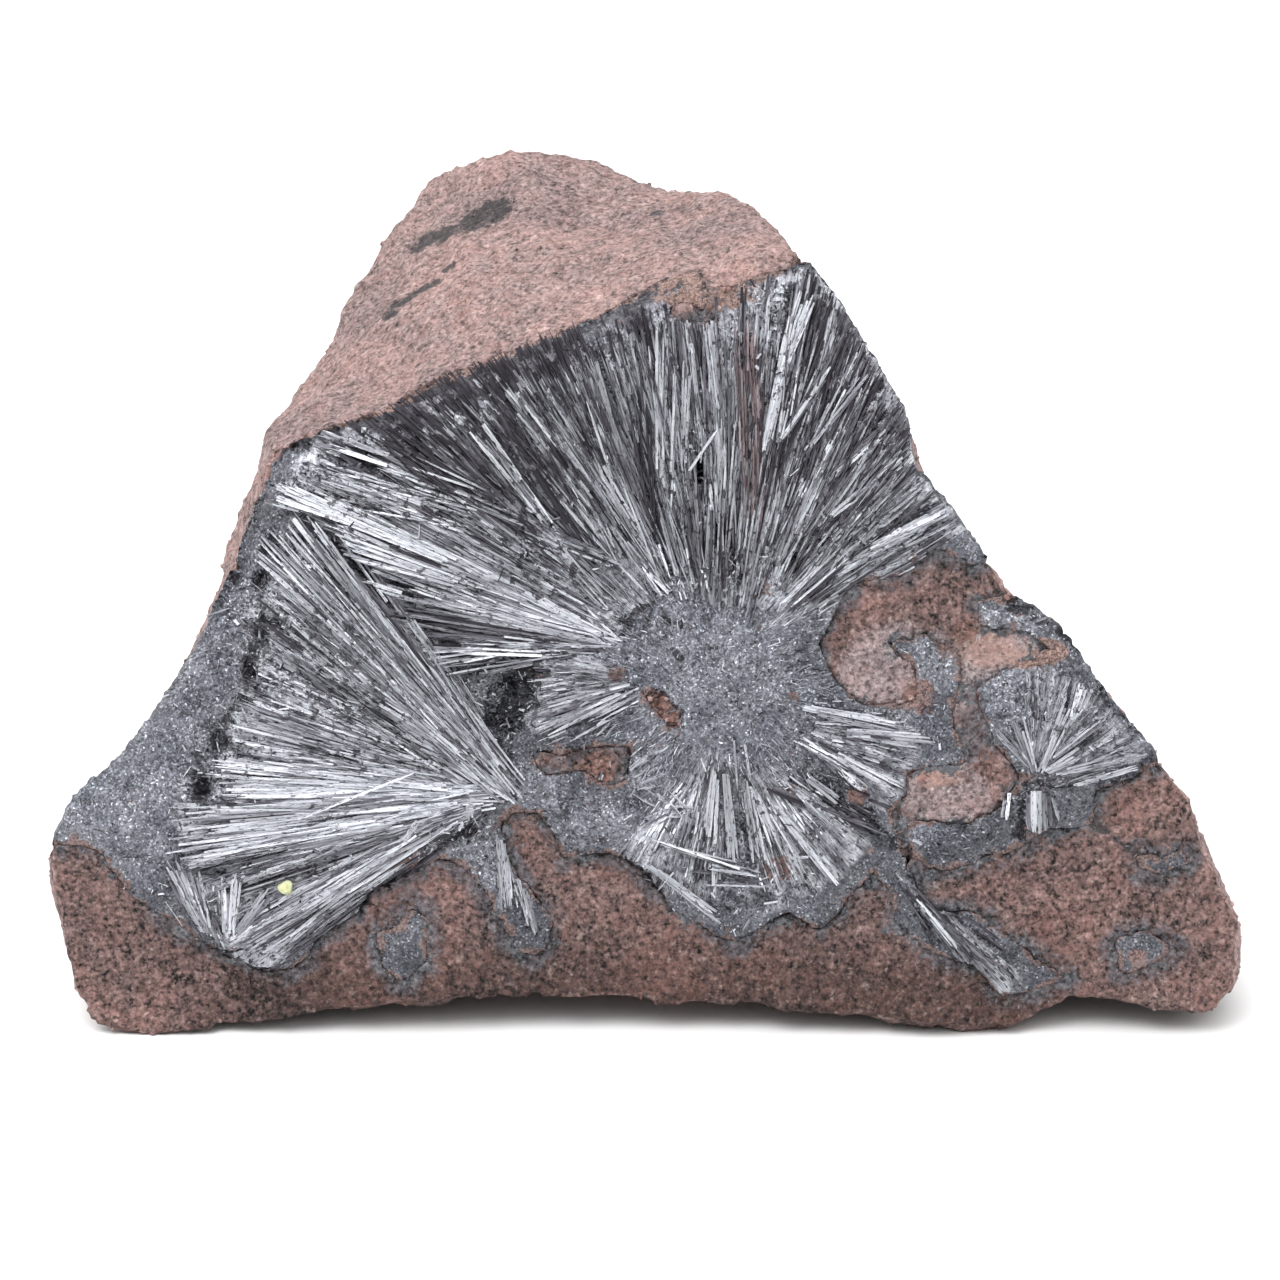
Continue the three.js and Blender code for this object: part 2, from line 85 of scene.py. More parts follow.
LEFT_SHEETS = [
    ((-10.5, 20), (-25.5, 39), 0.8, 2.2, 0.69, 12, 0.5),
    ((-10, 20), (-18.5, 32.5), 0.5, 1.5, 0.75, -8, 0.4),
    ((-11, 19.5), (-27.5, 39.2), 0.8, 2.4, 0.67, 5, 0.45),
    ((-11, 19.5), (-29.8, 39.0), 0.8, 2.6, 0.77, -6, 0.4),
    ((-11.5, 19), (-30.4, 36.6), 1, 2.4, 0.67, -10, 0.3), ((-11.5, 19), (-29.8, 34), 1, 2.6, 0.52, 8, 0.2),
    ((-11.5, 19), (-29.6, 32), 1, 2.4, 0.63, -4, 0.2),
    ((-13.5, 19.5), (-29.5, 30.5), 1.5, 3, 0.57, -6, 0.1), ((-13, 19), (-31, 26.5), 1, 2.6, 0.63, 6, 0.1),
    ((-13, 19), (-32, 24), 1, 2.4, 0.67, -5, 0.15), ((-12.5, 19), (-33.5, 21), 0.8, 2.2, 0.88, 10, 0.25),
    ((-12, 18.5), (-33, 18.5), 0.8, 2.4, 0.92, -4, 0.3),
    ((-12, 18.5), (-36.5, 15.5), 0.8, 3.2, 0.8, 6, 0.35),
    ((-13, 18), (-35.5, 13.5), 0.8, 2.6, 0.75, -6, 0.3), ((-13, 18), (-33, 12), 0.8, 2.4, 0.59, 12, 0.2),
    ((-13.5, 17.5), (-30, 10.5), 0.8, 2, 0.52, -10, 0.15), ((-15, 17), (-31, 7.5), 0.8, 2.4, 0.69, 5, 0.2),
    ((-16, 16.5), (-27.5, 7), 0.6, 1.6, 0.59, -8, 0.1), ((-33.5, 8), (-36.5, 14), 0.8, 1.6, 0.67, 8, 0.2),
    ((-33, 7.5), (-35, 13), 0.6, 1.2, 0.63, -8, 0.1), ((-31.5, 7.5), (-31.5, 12.5), 0.8, 2, 0.77, 0, 0.2),
    ((-30.5, 8), (-28.5, 11.5), 0.7, 1.3, 0.66, 8, 0.1), ((-16.5, 17), (-18.5, 15), 0.5, 1.2, 0.67, 0, 0.1),
    ((-11.5, 16.5), (-10.5, 10), 0.8, 1.4, 0.59, 5, 0.1),
    ((-10.5, 14.5), (-8.5, 7.5), 0.6, 1.0, 0.51, -10, 0.1),
]
UPPER_LEFT_SHEETS = [
    ((-3.5, 30), (-20.3, 33), 0.8, 2.4, 0.62, 5, 0.2),
    ((-3.5, 29.6), (-18.2, 30.3), 0.7, 1.8, 0.45, -8, 0.1),
    ((-6, 29.4), (-16, 29.4), 0.4, 0.7, 1.0, 14, 0.3),
    ((-3.5, 30.5), (-21.6, 35.5), 0.8, 2.2, 0.66, -5, 0.2),
    ((-3.5, 30.5), (-23, 38), 0.8, 2.2, 0.62, 8, 0.2),
    ((-13.5, 33.6), (-23.8, 38.0), 1.2, 2.4, 1.0, 15, 1.0),
    ((-14.5, 32.8), (-21.5, 35.0), 0.8, 1.6, 1.0, 12, 1.0),
    ((-3.5, 31), (-26.5, 40.5), 0.8, 2.2, 0.6, -4, 0.2),
    ((-16, 36.4), (-25.5, 40.4), 1.0, 2.0, 1.0, 14, 0.8),
    ((-21.5, 39.6), (-28.8, 42.2), 1.0, 2.6, 1.0, 14, 0.9),
    ((-3.5, 31), (-27.5, 42.5), 0.8, 2.4, 0.66, 6, 0.2), ((-6.5, 34), (-26, 44.5), 1.2, 2.2, 0.62, -8, 0.2),
    ((-3.5, 36.5), (-23, 45), 0.8, 2, 0.72, 10, 0.2), ((-13, 40.6), (-26.5, 45), 1.2, 2.4, 1.0, 16, 0.9),
    ((-12.5, 38.8), (-25.5, 43), 1.0, 2.2, 1.0, 14, 0.8),
    ((-12, 43.2), (-16.4, 47.6), 0.8, 1.6, 0.9, 10, 0.6), ((-6.5, 37.5), (-21, 46), 1, 2.2, 0.55, -6, 0.1),
    ((-7, 37), (-19.3, 47), 1.0, 3.0, 0.37, -10, 0.5), ((-3.5, 33.5), (-15, 47.5), 0.8, 1.8, 0.65, 6, 0.2),
    ((-3, 30.5), (-10.5, 36), 0.6, 2, 0.65, -4, 0.2), ((-4.4, 37.6), (-11, 48.6), 0.6, 1.9, 0.27, 12, 0.5),
    ((1, 34), (-11.5, 50), 1, 2.4, 0.62, -6, 0.2), ((0.5, 36.5), (-8.5, 51.5), 0.9, 2, 0.45, 8, 0.1),
]
TOP_SHEETS = [
    ((-1.8, 40), (-5.4, 51), 0.6, 1.3, 0.9, 8, 0.5), ((-2.2, 36), (-7, 46), 0.7, 1.3, 0.88, 10, 0.6),
    ((0.4, 38), (-1.5, 53.4), 0.5, 1.5, 0.1, -8, 0.5), ((1.4, 41), (1.0, 53.6), 0.7, 1.5, 0.85, 6, 0.5),
    ((5.4, 38.5), (5.2, 52), 0.6, 1.4, 0.85, -4, 0.5), ((3.2, 36), (3.0, 41.4), 0.4, 0.8, 0.1, 4, 0.4),
    ((11.4, 40), (14.4, 52.5), 0.4, 1.0, 0.18, 8, 0.5), ((13.6, 41), (18.6, 49.6), 0.5, 1.1, 0.2, 10, 0.5),
    ((13.2, 38.2), (19.6, 45.4), 0.4, 0.9, 0.15, 6, 0.5), ((12, 45), (16.4, 54), 0.5, 1.2, 0.8, -6, 0.5),
    ((11, 48), (13.6, 57), 0.4, 0.9, 0.2, 8, 0.4), ((9, 39), (10, 50), 0.5, 1.1, 0.2, -8, 0.4),
    ((1, 35.5), (-6.5, 52.5), 0.8, 2, 0.47, -10, 0.1), ((2.5, 35), (-4.5, 53.5), 0.8, 2.2, 0.52, 8, 0.15),
    ((3, 34.5), (-2, 54.5), 0.8, 2, 0.57, -8, 0.1), ((3.5, 34.5), (0, 55), 0.8, 2.2, 0.55, 6, 0.2),
    ((4, 34), (2.5, 55.5), 0.8, 2, 0.52, -10, 0.1), ((4.5, 34), (4.5, 53.5), 0.8, 1.8, 0.57, 8, 0.2),
    ((5.5, 34), (6, 54), 0.7, 1.6, 0.49, -8, 0.1), ((7, 33.5), (10.5, 54.5), 0.5, 1.6, 0.73, -5, 0.2),
    ((7.5, 32.5), (12.5, 54.5), 0.5, 1.4, 0.45, 12, 0.1), ((9, 38), (13.5, 53.5), 0.5, 1.2, 0.65, -6, 0.2),
    ((9.5, 36.5), (15, 53.5), 0.6, 1.2, 0.45, 10, 0.1), ((10.5, 36.5), (17, 52), 0.6, 1.3, 0.69, -8, 0.2),
    ((10.5, 35), (18, 49.5), 0.6, 1.4, 0.42, 12, 0.1), ((11.5, 35.5), (19, 47.5), 0.6, 1.3, 0.49, -8, 0.1),
    ((12, 35), (19.5, 46), 0.6, 1.4, 0.61, 6, 0.15), ((12.5, 35), (20, 43.5), 0.7, 1.6, 0.61, -6, 0.1),
    ((13, 35), (19.5, 40), 0.7, 1.5, 0.65, 6, 0.1), ((15, 36.2), (23, 40.2), 0.6, 1.6, 1.0, -16, 0.9),
    ((14.5, 35), (21.5, 37.5), 0.5, 1.2, 0.61, 4, 0.1), ((9.8, 45), (12.6, 59.5), 0.6, 1.5, 0.8, -6, 0.8),
    ((9.2, 46), (10.9, 58.6), 0.5, 0.9, 0.45, 10, 0.1), ((10.4, 45), (14.6, 55.6), 0.6, 1.2, 0.77, 6, 0.2),
    ((8.6, 47), (9.3, 58), 0.4, 0.7, 0.38, -6, 0.1),
]
STAINED_SHEETS = [
    ((7.7, 40), (7.5, 54.6), 0.9, 1.9, 0.5, 5, 0.7), ((7.6, 37.4), (7.6, 46), 0.5, 1.1, 0.32, -6, 0.6),
    ((7.5, 44), (6.9, 54), 0.6, 1.2, 0.55, 8, 0.6),
]
LOWER_SHEETS = [
    ((6.6, 22.5), (7.4, 14.4), 0.6, 1.4, 0.55, 5, 0.1), ((12, 16.2), (14.4, 12.2), 0.5, 1.2, 0.6, -6, 0.2),
    ((10.5, 19.4), (17.6, 15.6), 0.5, 1.4, 0.12, 12, 0.1), ((12, 20), (18.4, 16.8), 0.4, 1.0, 0.2, -8, 0.1),
    ((2.6, 16.8), (-0.8, 19.6), 0.6, 1.6, 0.6, 6, 0.2),
    ((3.2, 17.6), (-0.6, 17.6), 0.6, 1.6, 0.66, -6, 0.2),
    ((3.2, 17.8), (-0.8, 15.8), 0.6, 1.6, 0.6, -6, 0.2), ((7.4, 12.4), (0.4, 15.2), 0.4, 0.8, 0.7, 12, 0.3),
    ((8.6, 12.2), (1.2, 13.4), 0.6, 1.6, 0.5, 4, 0.2), ((5.2, 9.8), (0.2, 14.2), 0.6, 1.0, 0.6, 4, 0.1),
    ((-1.6, 20.5), (2.4, 23), 0.8, 1.6, 0.6, 6, 0.1), ((-2, 18.6), (2.4, 20.4), 0.8, 1.4, 0.55, -6, 0.1),
    ((11.8, 22.8), (19.4, 18.8), 0.4, 1.5, 0.75, -12, 0.3),
    ((14.4, 23.4), (22, 22.8), 0.7, 1.6, 0.52, -5, 0.2), ((12.5, 22), (17.5, 18), 0.4, 1, 0.35, 10, 0.0),
    ((7.5, 19.5), (10.4, 17.6), 0.4, 0.9, 0.3, 0, 0.0), ((-1.5, 26.5), (-9, 23.5), 0.4, 1.6, 0.6, 4, 0.2),
    ((-1, 26), (-8.5, 22.5), 0.4, 1.4, 0.6, -4, 0.2), ((-1, 26), (-4.5, 22.5), 0.4, 1.2, 0.5, 6, 0.1),
    ((-1.5, 26.5), (-8.5, 26), 0.4, 1.4, 0.55, -6, 0.1), ((19.4, 12), (22.6, 7), 0.4, 1.0, 0.45, 5, 0.1),
    ((18.5, 29.5), (21, 28.5), 0.4, 1.0, 0.7, 0, 0.1), ((22.4, 27.6), (24.6, 28.8), 0.5, 1.0, 0.6, 5, 0.1),
]
SPRAY_SHEETS = [
    ((30.2, 22), (32.6, 28.4), 0.4, 1.1, 0.5, 6, 0.1), ((28.8, 20.2), (26.2, 24), 0.3, 1.0, 0.5, -8, 0.1),
    ((29.8, 19.6), (36.6, 22.6), 0.4, 1.2, 0.5, 6, 0.1),
    ((25, 31.5), (27.8, 31.3), 0.3, 0.5, 1.0, -10, 0.4),
    ((28.5, 31.4), (31.4, 32.4), 0.6, 1.2, 0.6, -6, 0.2),
    ((31.6, 32.2), (33.8, 28.8), 0.7, 1.0, 0.35, 6, 0.2),
]

# Leaves of crystals grown side by side, by fan, described like the sheets.
LEAVES = {
    "left_fan": [
        ((-10.7, 20.6), (-22.4, 35.5), 0.5, 1.0, 0.7, 8, 0.6),
        ((-10.9, 20.4), (-25.3, 38.6), 0.5, 1.3, 0.62, -4, 0.55),
        ((-12, 20.9), (-29.3, 38.1), 0.5, 1.5, 0.62, 6, 0.5),
        ((-12.6, 20.8), (-28.6, 36.2), 0.5, 1.2, 0.5, -8, 0.45),
        ((-13.5, 21.5), (-28.8, 34.4), 0.5, 1.1, 0.64, 6, 0.4),
        ((-9.9, 19.3), (-20.9, 26.1), 0.5, 1.3, 0.68, 4, 0.4),
        ((-9.9, 19.0), (-18.8, 23), 0.5, 1.2, 0.66, -5, 0.35),
        ((-13.6, 19.3), (-30.8, 24.5), 0.6, 1.4, 0.6, 8, 0.3),
        ((-14.6, 19.1), (-33.1, 20.9), 0.7, 1.6, 0.9, 12, 0.35),
        ((-14.6, 18.8), (-33.1, 19.1), 0.7, 1.6, 0.95, 8, 0.4),
        ((-14.9, 18.3), (-36.5, 16.7), 0.7, 1.9, 0.72, -4, 0.4),
        ((-16.2, 17.5), (-36.6, 15.1), 0.7, 1.9, 0.78, 8, 0.4),
        ((-18.2, 16.7), (-35.5, 13.6), 0.7, 1.6, 0.7, 4, 0.35),
        ((-18.8, 15.7), (-31, 12.8), 0.6, 1.3, 0.42, -8, 0.25),
        ((-17.2, 15.7), (-26.1, 9.4), 0.5, 1.2, 0.75, 8, 0.35),
        ((-18.3, 15.1), (-30.6, 7.9), 0.5, 1.3, 0.62, -5, 0.25),
        ((-33.5, 8.1), (-36.3, 13.8), 0.5, 1.2, 0.66, 5, 0.5),
        ((-33.1, 8.1), (-34.3, 13), 0.4, 0.9, 0.55, -5, 0.4),
        ((-31.7, 8.1), (-31.4, 12.5), 0.8, 1.7, 0.8, 0, 0.5),
        ((-31.3, 7.8), (-28.5, 11.6), 0.6, 1.1, 0.68, 5, 0.4),
        ((-11.3, 15.7), (-10.7, 9.9), 1.1, 1.2, 0.62, 5, 0.5),
        ((-10.3, 14.6), (-8.7, 8.1), 0.5, 0.8, 0.5, -8, 0.3),
        ((-18.8, 14.6), (-17.2, 16.7), 0.5, 0.8, 0.7, 0, 0.4),
    ],
    "upper_left_fan": [
        ((-13.6, 34.4), (-23.6, 37.7), 0.8, 2.2, 0.86, 15, 1.0),
        ((-14.6, 36.2), (-27.8, 41.9), 0.8, 1.8, 0.84, 13, 0.7),
        ((-3.6, 30.8), (-18.6, 34.4), 0.4, 1.5, 0.74, 6, 0.4),
        ((-3.9, 30), (-18.3, 32.4), 0.4, 1.5, 0.6, -4, 0.35),
        ((-7.5, 29.2), (-14.9, 29.5), 0.4, 0.6, 1.0, 14, 0.5),
        ((-5.7, 29.8), (-16.2, 31.1), 0.4, 0.9, 0.4, -8, 0.3),
        ((-4.2, 31), (-9.6, 34.2), 0.4, 1.0, 0.8, 8, 0.5),
        ((-22.4, 39.4), (-27.9, 41.6), 1.0, 1.8, 0.88, 15, 1.0),
        ((-18.8, 40.7), (-24.6, 42.8), 0.8, 1.5, 0.84, 15, 0.8),
        ((-7.4, 38.9), (-13.4, 46.9), 0.6, 1.7, 0.78, 4, 0.7),
        ((-4, 40.9), (-10.7, 49.4), 0.6, 1.7, 0.7, 4, 0.6),
        ((-0.4, 37.6), (-4, 43.5), 0.6, 1.0, 0.74, 6, 0.5),
        ((-8.4, 38.2), (-15.4, 46.6), 0.5, 1.8, 0.31, -8, 0.5),
        ((-6.1, 38.9), (-11.7, 47.9), 0.5, 1.3, 0.32, 8, 0.5),
        ((1.0, 34.9), (-1.6, 38.2), 0.4, 0.8, 0.74, 4, 0.4),
        ((1.6, 33.8), (0.1, 35.5), 0.3, 0.6, 0.7, 0, 0.3),
        ((-1.2, 26.6), (-8.4, 23.2), 0.4, 1.3, 0.62, 4, 0.4),
        ((-1.4, 27), (-8.6, 25), 0.4, 1.0, 0.5, -5, 0.3),
    ],
    "top_fan": [
        ((-1.1, 40.2), (-4.6, 52.4), 0.4, 0.9, 0.6, 4, 0.5),
        ((0.8, 42.2), (1.0, 54), 0.5, 1.0, 0.74, -4, 0.5),
        ((2.6, 43.5), (2.9, 52.5), 0.4, 0.8, 0.7, 4, 0.5), ((5.4, 46.5), (4.6, 54), 0.5, 1.1, 0.75, 0, 0.5),
        ((8.6, 44.2), (11.2, 54.8), 0.5, 1.6, 0.76, -5, 0.7),
        ((9.9, 50.8), (12.1, 56.8), 0.9, 1.6, 0.74, -4, 0.8),
        ((9.6, 44.9), (13.9, 51.2), 0.4, 0.9, 0.7, 6, 0.5),
        ((11.6, 44.2), (16.9, 50.9), 0.4, 0.9, 0.72, -6, 0.5),
        ((8.9, 40.9), (13.4, 52.6), 0.4, 0.9, 0.12, 8, 0.5),
        ((13.2, 42.2), (18.2, 46.5), 0.4, 1.0, 0.6, 6, 0.4),
        ((13.6, 39.6), (19.5, 44.2), 0.4, 1.2, 0.64, -6, 0.4),
        ((16.6, 37.2), (22.5, 40.1), 0.5, 1.1, 0.95, -14, 0.8),
        ((7.1, 35.3), (7.0, 37.8), 0.3, 0.6, 0.75, 0, 0.3),
        ((9.4, 34.6), (10.0, 36.1), 0.4, 0.7, 0.7, 0, 0.3),
        ((13.4, 34.4), (15.3, 37.6), 0.6, 1.2, 0.62, 5, 0.3),
        ((14, 35.2), (17.4, 37.3), 0.5, 1.0, 0.72, -5, 0.4),
        ((4.2, 35.2), (3.4, 37.4), 0.4, 0.6, 0.66, 5, 0.3),
        ((11.4, 34.2), (12.8, 36.2), 0.4, 0.6, 0.6, -5, 0.3),
    ],
    "lower_fans": [
        ((5.0, 20.8), (4.4, 14.9), 0.5, 1.3, 0.78, 4, 0.5),
        ((5.8, 20.4), (6.5, 13.4), 0.4, 1.0, 0.82, -4, 0.5),
        ((7.3, 19.9), (8.3, 13.4), 0.5, 1.3, 0.74, 6, 0.45),
        ((7.8, 19.3), (9.8, 14.3), 0.5, 1.0, 0.68, -6, 0.4),
        ((9.3, 18.0), (14.4, 11.9), 0.4, 1.2, 0.8, 6, 0.45),
        ((12.0, 19.9), (14.4, 18.1), 0.5, 0.8, 0.6, 0, 0.3),
        ((8.9, 19.2), (18.4, 15.2), 0.4, 1.1, 0.22, 12, 0.35),
        ((-0.1, 13.4), (5.8, 8.9), 0.5, 0.9, 0.8, -5, 0.5),
        ((11.6, 25.2), (19.4, 23.6), 0.5, 1.4, 0.72, 4, 0.45),
        ((13.8, 21.8), (19.3, 18.8), 0.5, 1.1, 0.9, -14, 0.6),
        ((14.6, 23.4), (21.6, 22.6), 0.6, 1.4, 0.6, 4, 0.35),
        ((22.2, 8.9), (27.2, 4.6), 0.4, 1.0, 0.34, -4, 0.4),
        ((20.0, 11), (23.6, 6.6), 0.3, 0.5, 0.75, 5, 0.45),
    ],
    "corner_spray": [
        ((29.2, 20.2), (27.7, 24.3), 0.4, 1.3, 0.6, 5, 0.4),
        ((29.5, 20.3), (31.6, 25.4), 0.4, 1.3, 0.7, -5, 0.4),
        ((29.9, 20.3), (32.6, 21.9), 0.3, 0.9, 0.7, 5, 0.4),
        ((30.1, 20.1), (37.6, 21.8), 0.3, 0.9, 0.6, -8, 0.4),
        ((31.7, 19.2), (37, 20.7), 0.3, 0.5, 0.72, -10, 0.4),
        ((31.7, 24.2), (32.7, 27.2), 0.7, 1.1, 0.62, 5, 0.4),
        ((28.9, 20.7), (26.2, 23.6), 0.4, 0.9, 0.52, 0, 0.3),
        ((30.4, 21.4), (34.4, 24.6), 0.4, 0.9, 0.56, -5, 0.3),
    ],
}

# Fans that fill the ore between the sheets: centre, from and to in degrees, near and far radius,
# tone with painted reflection and painted shade as in the sheets.
LEFT_FILL = [
    ((-10, 19), 129, 150, 3, 24, 0.68), ((-10, 19), 150, 178, 4, 22, 0.57),
    ((-10, 19), 178, 216, 3, 25, 0.62), ((-32, 6.5), 66, 124, 1, 6.5, 0.65),
]
UPPER_LEFT_FILL = [((4, 28), 110, 158, 7, 34, 0.6), ((-2.8, 30), 148, 188, 1.5, 16.5, 0.55)]
TOP_FILL = [
    ((6, 29), 46, 66, 5, 27, 0.46), ((6, 29), 62, 84, 5, 31, 0.5), ((6, 29), 82, 112, 4.5, 28, 0.58),
    ((6, 29), 28, 46, 5, 20, 0.58),
]
LOWER_FILL = [
    ((-0.5, 27.5), 158, 208, 2, 9, 0.5), ((5.5, 24), 232, 268, 3, 13, 0.76),
    ((5.5, 24), 284, 322, 5, 14, 0.7), ((10, 24), -42, -2, 3, 10, 0.6), ((18, 13.5), -54, -40, 1, 13, 0.25),
]
SPRAY_FILL = [((29, 19.5), 12, 95, 2.5, 8, 0.5)]

FANS = [*LEFT_FILL, *UPPER_LEFT_FILL, *TOP_FILL, *LOWER_FILL, *SPRAY_FILL]

# Single crystals: root, tip, tone with painted reflection and painted shade as in the sheets,
# half width, roll, how far the root and the tip stand off the ore.
LONE_NEEDLES = [
    ((-26.4, 16.8), (-17.7, 20.3), 0.95, 0.12, 8, 0.9, 0.9),
    ((3.0, 43.0), (5.1, 46.1), 0.8, 0.12, 8, 0.9, 0.9),
    ((6.8, 13.1), (0.3, 15.3), 0.9, 0.1, 10, 0.7, 0.7),
    ((28.72, 18.6), (28.7, 16.0), 0.5, 0.24, 30, 0.4, 0.9),
    ((29.05, 18.9), (29.05, 15.8), 0.9, 0.26, 12, 0.6, 1.15),
    ((29.45, 18.9), (29.45, 15.7), 0.66, 0.26, -6, 0.6, 1.2),
    ((29.85, 18.7), (29.9, 15.9), 0.5, 0.24, -20, 0.5, 1.1),
    ((30.2, 18.5), (30.3, 16.2), 0.4, 0.22, -34, 0.4, 0.9),
    ((30.5, 18.4), (31.0, 16.6), 0.6, 0.16, -14, 0.2, 0.5),
    ((27.3, 18.7), (27.0, 16.7), 0.8, 0.16, 16, 0.2, 0.6),
    ((26.9, 18.2), (26.6, 16.9), 0.6, 0.14, -14, 0.2, 0.5),
]
# Holes between the needles: centre, radius.
PITS = [
    (-10.6, 25.6, 2.2), (3.8, 43.2, 0.8), (-29.6, 35.2, 0.6), (-29.2, 30.8, 0.5), (-30.2, 27.8, 0.6),
    (-30.8, 24.8, 0.6), (-32, 22.8, 0.6), (-33.6, 19.2, 0.7),
]
# Hollows in the ore, painted near black as painted shade: both ends, half width.
SHADED_HOLLOWS = [
    ((-28.6, 38), (-29.8, 34.5), 0.7), ((-29.2, 31.5), (-30.2, 28), 0.8),
    ((-30.4, 26.2), (-31.8, 24.4), 0.7), ((-34.4, 21.2), (-33.4, 17.4), 0.7),
    ((-12.2, 22.6), (-8.8, 28.4), 1.6), ((-3.0, 31.3), (-1.8, 32.0), 0.35),
    ((-1.2, 32.4), (0.2, 33.2), 0.28), ((0.8, 30.4), (1.4, 30.7), 0.3), ((-21.5, 20.4), (-16.5, 20.0), 0.4),
    ((-25.5, 27.5), (-20, 24.6), 0.5), ((-24.5, 32.2), (-20.6, 29), 0.5), ((-17, 14.8), (-13.4, 16.2), 0.7),
    ((-19.8, 11.0), (-18.2, 13.2), 0.6), ((3.8, 42.4), (3.7, 44.2), 0.6), ((9.2, 45), (10.6, 57), 0.5),
    ((-13, 41), (-9, 35.5), 0.6), ((28.1, 18.6), (28.1, 15.4), 0.45), ((1.2, 31.9), (2.4, 31.4), 0.35),
    ((3.8, 29.5), (5.2, 29.7), 0.22), ((1.8, 29.6), (2.4, 28.8), 0.3), ((-2.2, 30.6), (-1.4, 31.6), 0.4),
    ((28.5, 19.7), (29.6, 19.2), 0.6), ((27.4, 32.7), (28.9, 32.7), 0.4),
    ((31.2, 31.0), (32.6, 29.8), 0.45), ((12.4, 19.8), (18.5, 14.8), 0.6),
]
# Places where the fans are broken into short ends: centre, half widths.
RAGGED = [
    (-29.6, 31, 2.6, 6.5), (-24.5, 29.5, 5, 3.6), (-32.5, 21, 2.4, 4), (-20.5, 21.6, 5, 1.4),
    (-22, 25.6, 5, 2.4), (-17, 40.5, 4, 2.2), (-9.5, 40.5, 3, 6), (2.8, 42, 2.2, 5), (9.6, 51, 1.4, 7),
    (15, 38, 4, 2.2), (-25, 42.5, 4, 1.2), (-1.5, 37.4, 3, 2.6), (6.4, 36.6, 4, 2.2), (-6.4, 34.4, 3, 2),
    (12.5, 37.4, 2.5, 1.6), (-15.5, 34.2, 4, 1.2), (7, 17, 2, 3), (-26, 13.5, 5, 1.0), (33.5, 24.5, 3, 3),
    (-22.8, 40.0, 3.4, 1.5), (-24.5, 17.4, 4, 0.8), (11, 46.5, 1.5, 4), (17.5, 47, 2, 4),
]
# Granular ore, which glitters instead of lying in needles: centre, half widths.
GRANULAR = [
    (5.5, 27.5, 10.5, 11), (5.5, 27.5, 8, 9), (-3.5, 15.9, 4.5, 1.6), (-39.5, 19.5, 7, 9), (-33, 33, 4, 9),
    (-28, 44, 8, 3), (23, 38, 5, 4), (36, 26, 4, 6), (25, 30, 6, 5), (20, 20, 3, 6), (14, 26, 3, 7),
    (16.5, 33.5, 5, 3.5), (-9.5, 18.8, 3, 2.2), (6, 12, 6, 4), (-13.5, 12, 3, 4), (27.5, 25, 5, 4.5),
    (10, 10.5, 3, 2.5),
]
# Jumbled ore between the needle sheets: centre, half widths, how thick the crumbs lie.
JUMBLED = [
    (-21, 27, 8, 4, 2.0), (-31, 29, 2.5, 6, 2.0), (-33.5, 20, 2, 5, 1.6), (-13, 25.5, 4.5, 4.5, 2.2),
    (-15, 32, 8, 4, 1.6), (-24, 41, 5, 3, 1.2), (-8, 40, 6, 7, 1.0), (3.8, 43, 2.2, 5, 2.2),
    (6, 36, 7, 3, 1.6), (9, 54, 2, 5, 2.2), (15, 38, 4, 3, 1.4), (16, 45, 5, 7, 0.7), (8, 15, 8, 6, 0.8),
    (-14, 13, 5, 5, 1.4), (22, 37, 4, 2, 1.4), (-22, 17, 11, 8, 0.5), (31, 22, 5, 6, 0.7),
    (22, 26, 3, 5, 1.4), (24, 15, 5, 3, 1.2), (-30, 12, 8, 6, 0.6), (7, 10.5, 6, 2.4, 1.8),
    (-23, 40, 4, 2, 1.2),
]
# Iron-rich spots on ore and stone: centre, radius.
RED_SPOTS = [
    (-2.5, 27.8, 0.7), (10.9, 26.0, 0.45), (-0.1, 26.1, 0.7), (1.9, 24.2, 0.7), (36.9, 6.3, 0.8),
    (10.8, 19.0, 0.6), (9.7, 13.0, 1.2), (15.7, 18.6, 0.9), (-18.4, 14.0, 1.1), (20.5, 26, 1.4),
    (0.8, 25.4, 1.0), (24, 31, 1.0), (-4, 20.5, 1.4),
]
# Dark veins across the face and dark marks on the top: both ends, half width.
VEINS = [
    ((32.6, 17.4), (34.4, 16.0), 0.34), ((34.4, 16.0), (36.5, 14.5), 0.32),
    ((36.5, 14.5), (38.4, 13.2), 0.4),
]
DARK_MARKS = [
    ((-19.1, 62.5), (-16.6, 63.6), 0.8), ((-16.6, 63.4), (-14.3, 64.3), 0.45),
    ((-14.2, 64.3), (-11.9, 65.6), 1.2), ((-20.4, 56.9), (-16.9, 58.9), 0.42),
    ((-20.8, 56), (-20.2, 56.3), 0.4), ((-16.3, 59.9), (-15.7, 60.3), 0.4),
    ((0.5, 64.4), (1.0, 64.4), 0.45), ((2.2, 67.4), (3.6, 67.6), 0.6),
]
# Places where sand covers the ore: centre, half widths, how much.
STONY = [(28.4, 29.4, 3.8, 1.3, 1.0), (4.3, 56.8, 4.6, 1.9, 0.72), (17.5, 27.4, 0.9, 1.6, 0.8)]
# Stone that the crust leaves open on the right, paler than the rest of the broken face.
PALE_STONE = [(19, 26.5, 6, 6), (27, 28.5, 5, 2.5), (22.5, 18.5, 4, 3), (29, 22, 3, 3)]
ORANGE_STONE = [(29, 29, 3, 1.1), (22, 20, 2, 0.8), (25.5, 29.6, 2.5, 1.5)]
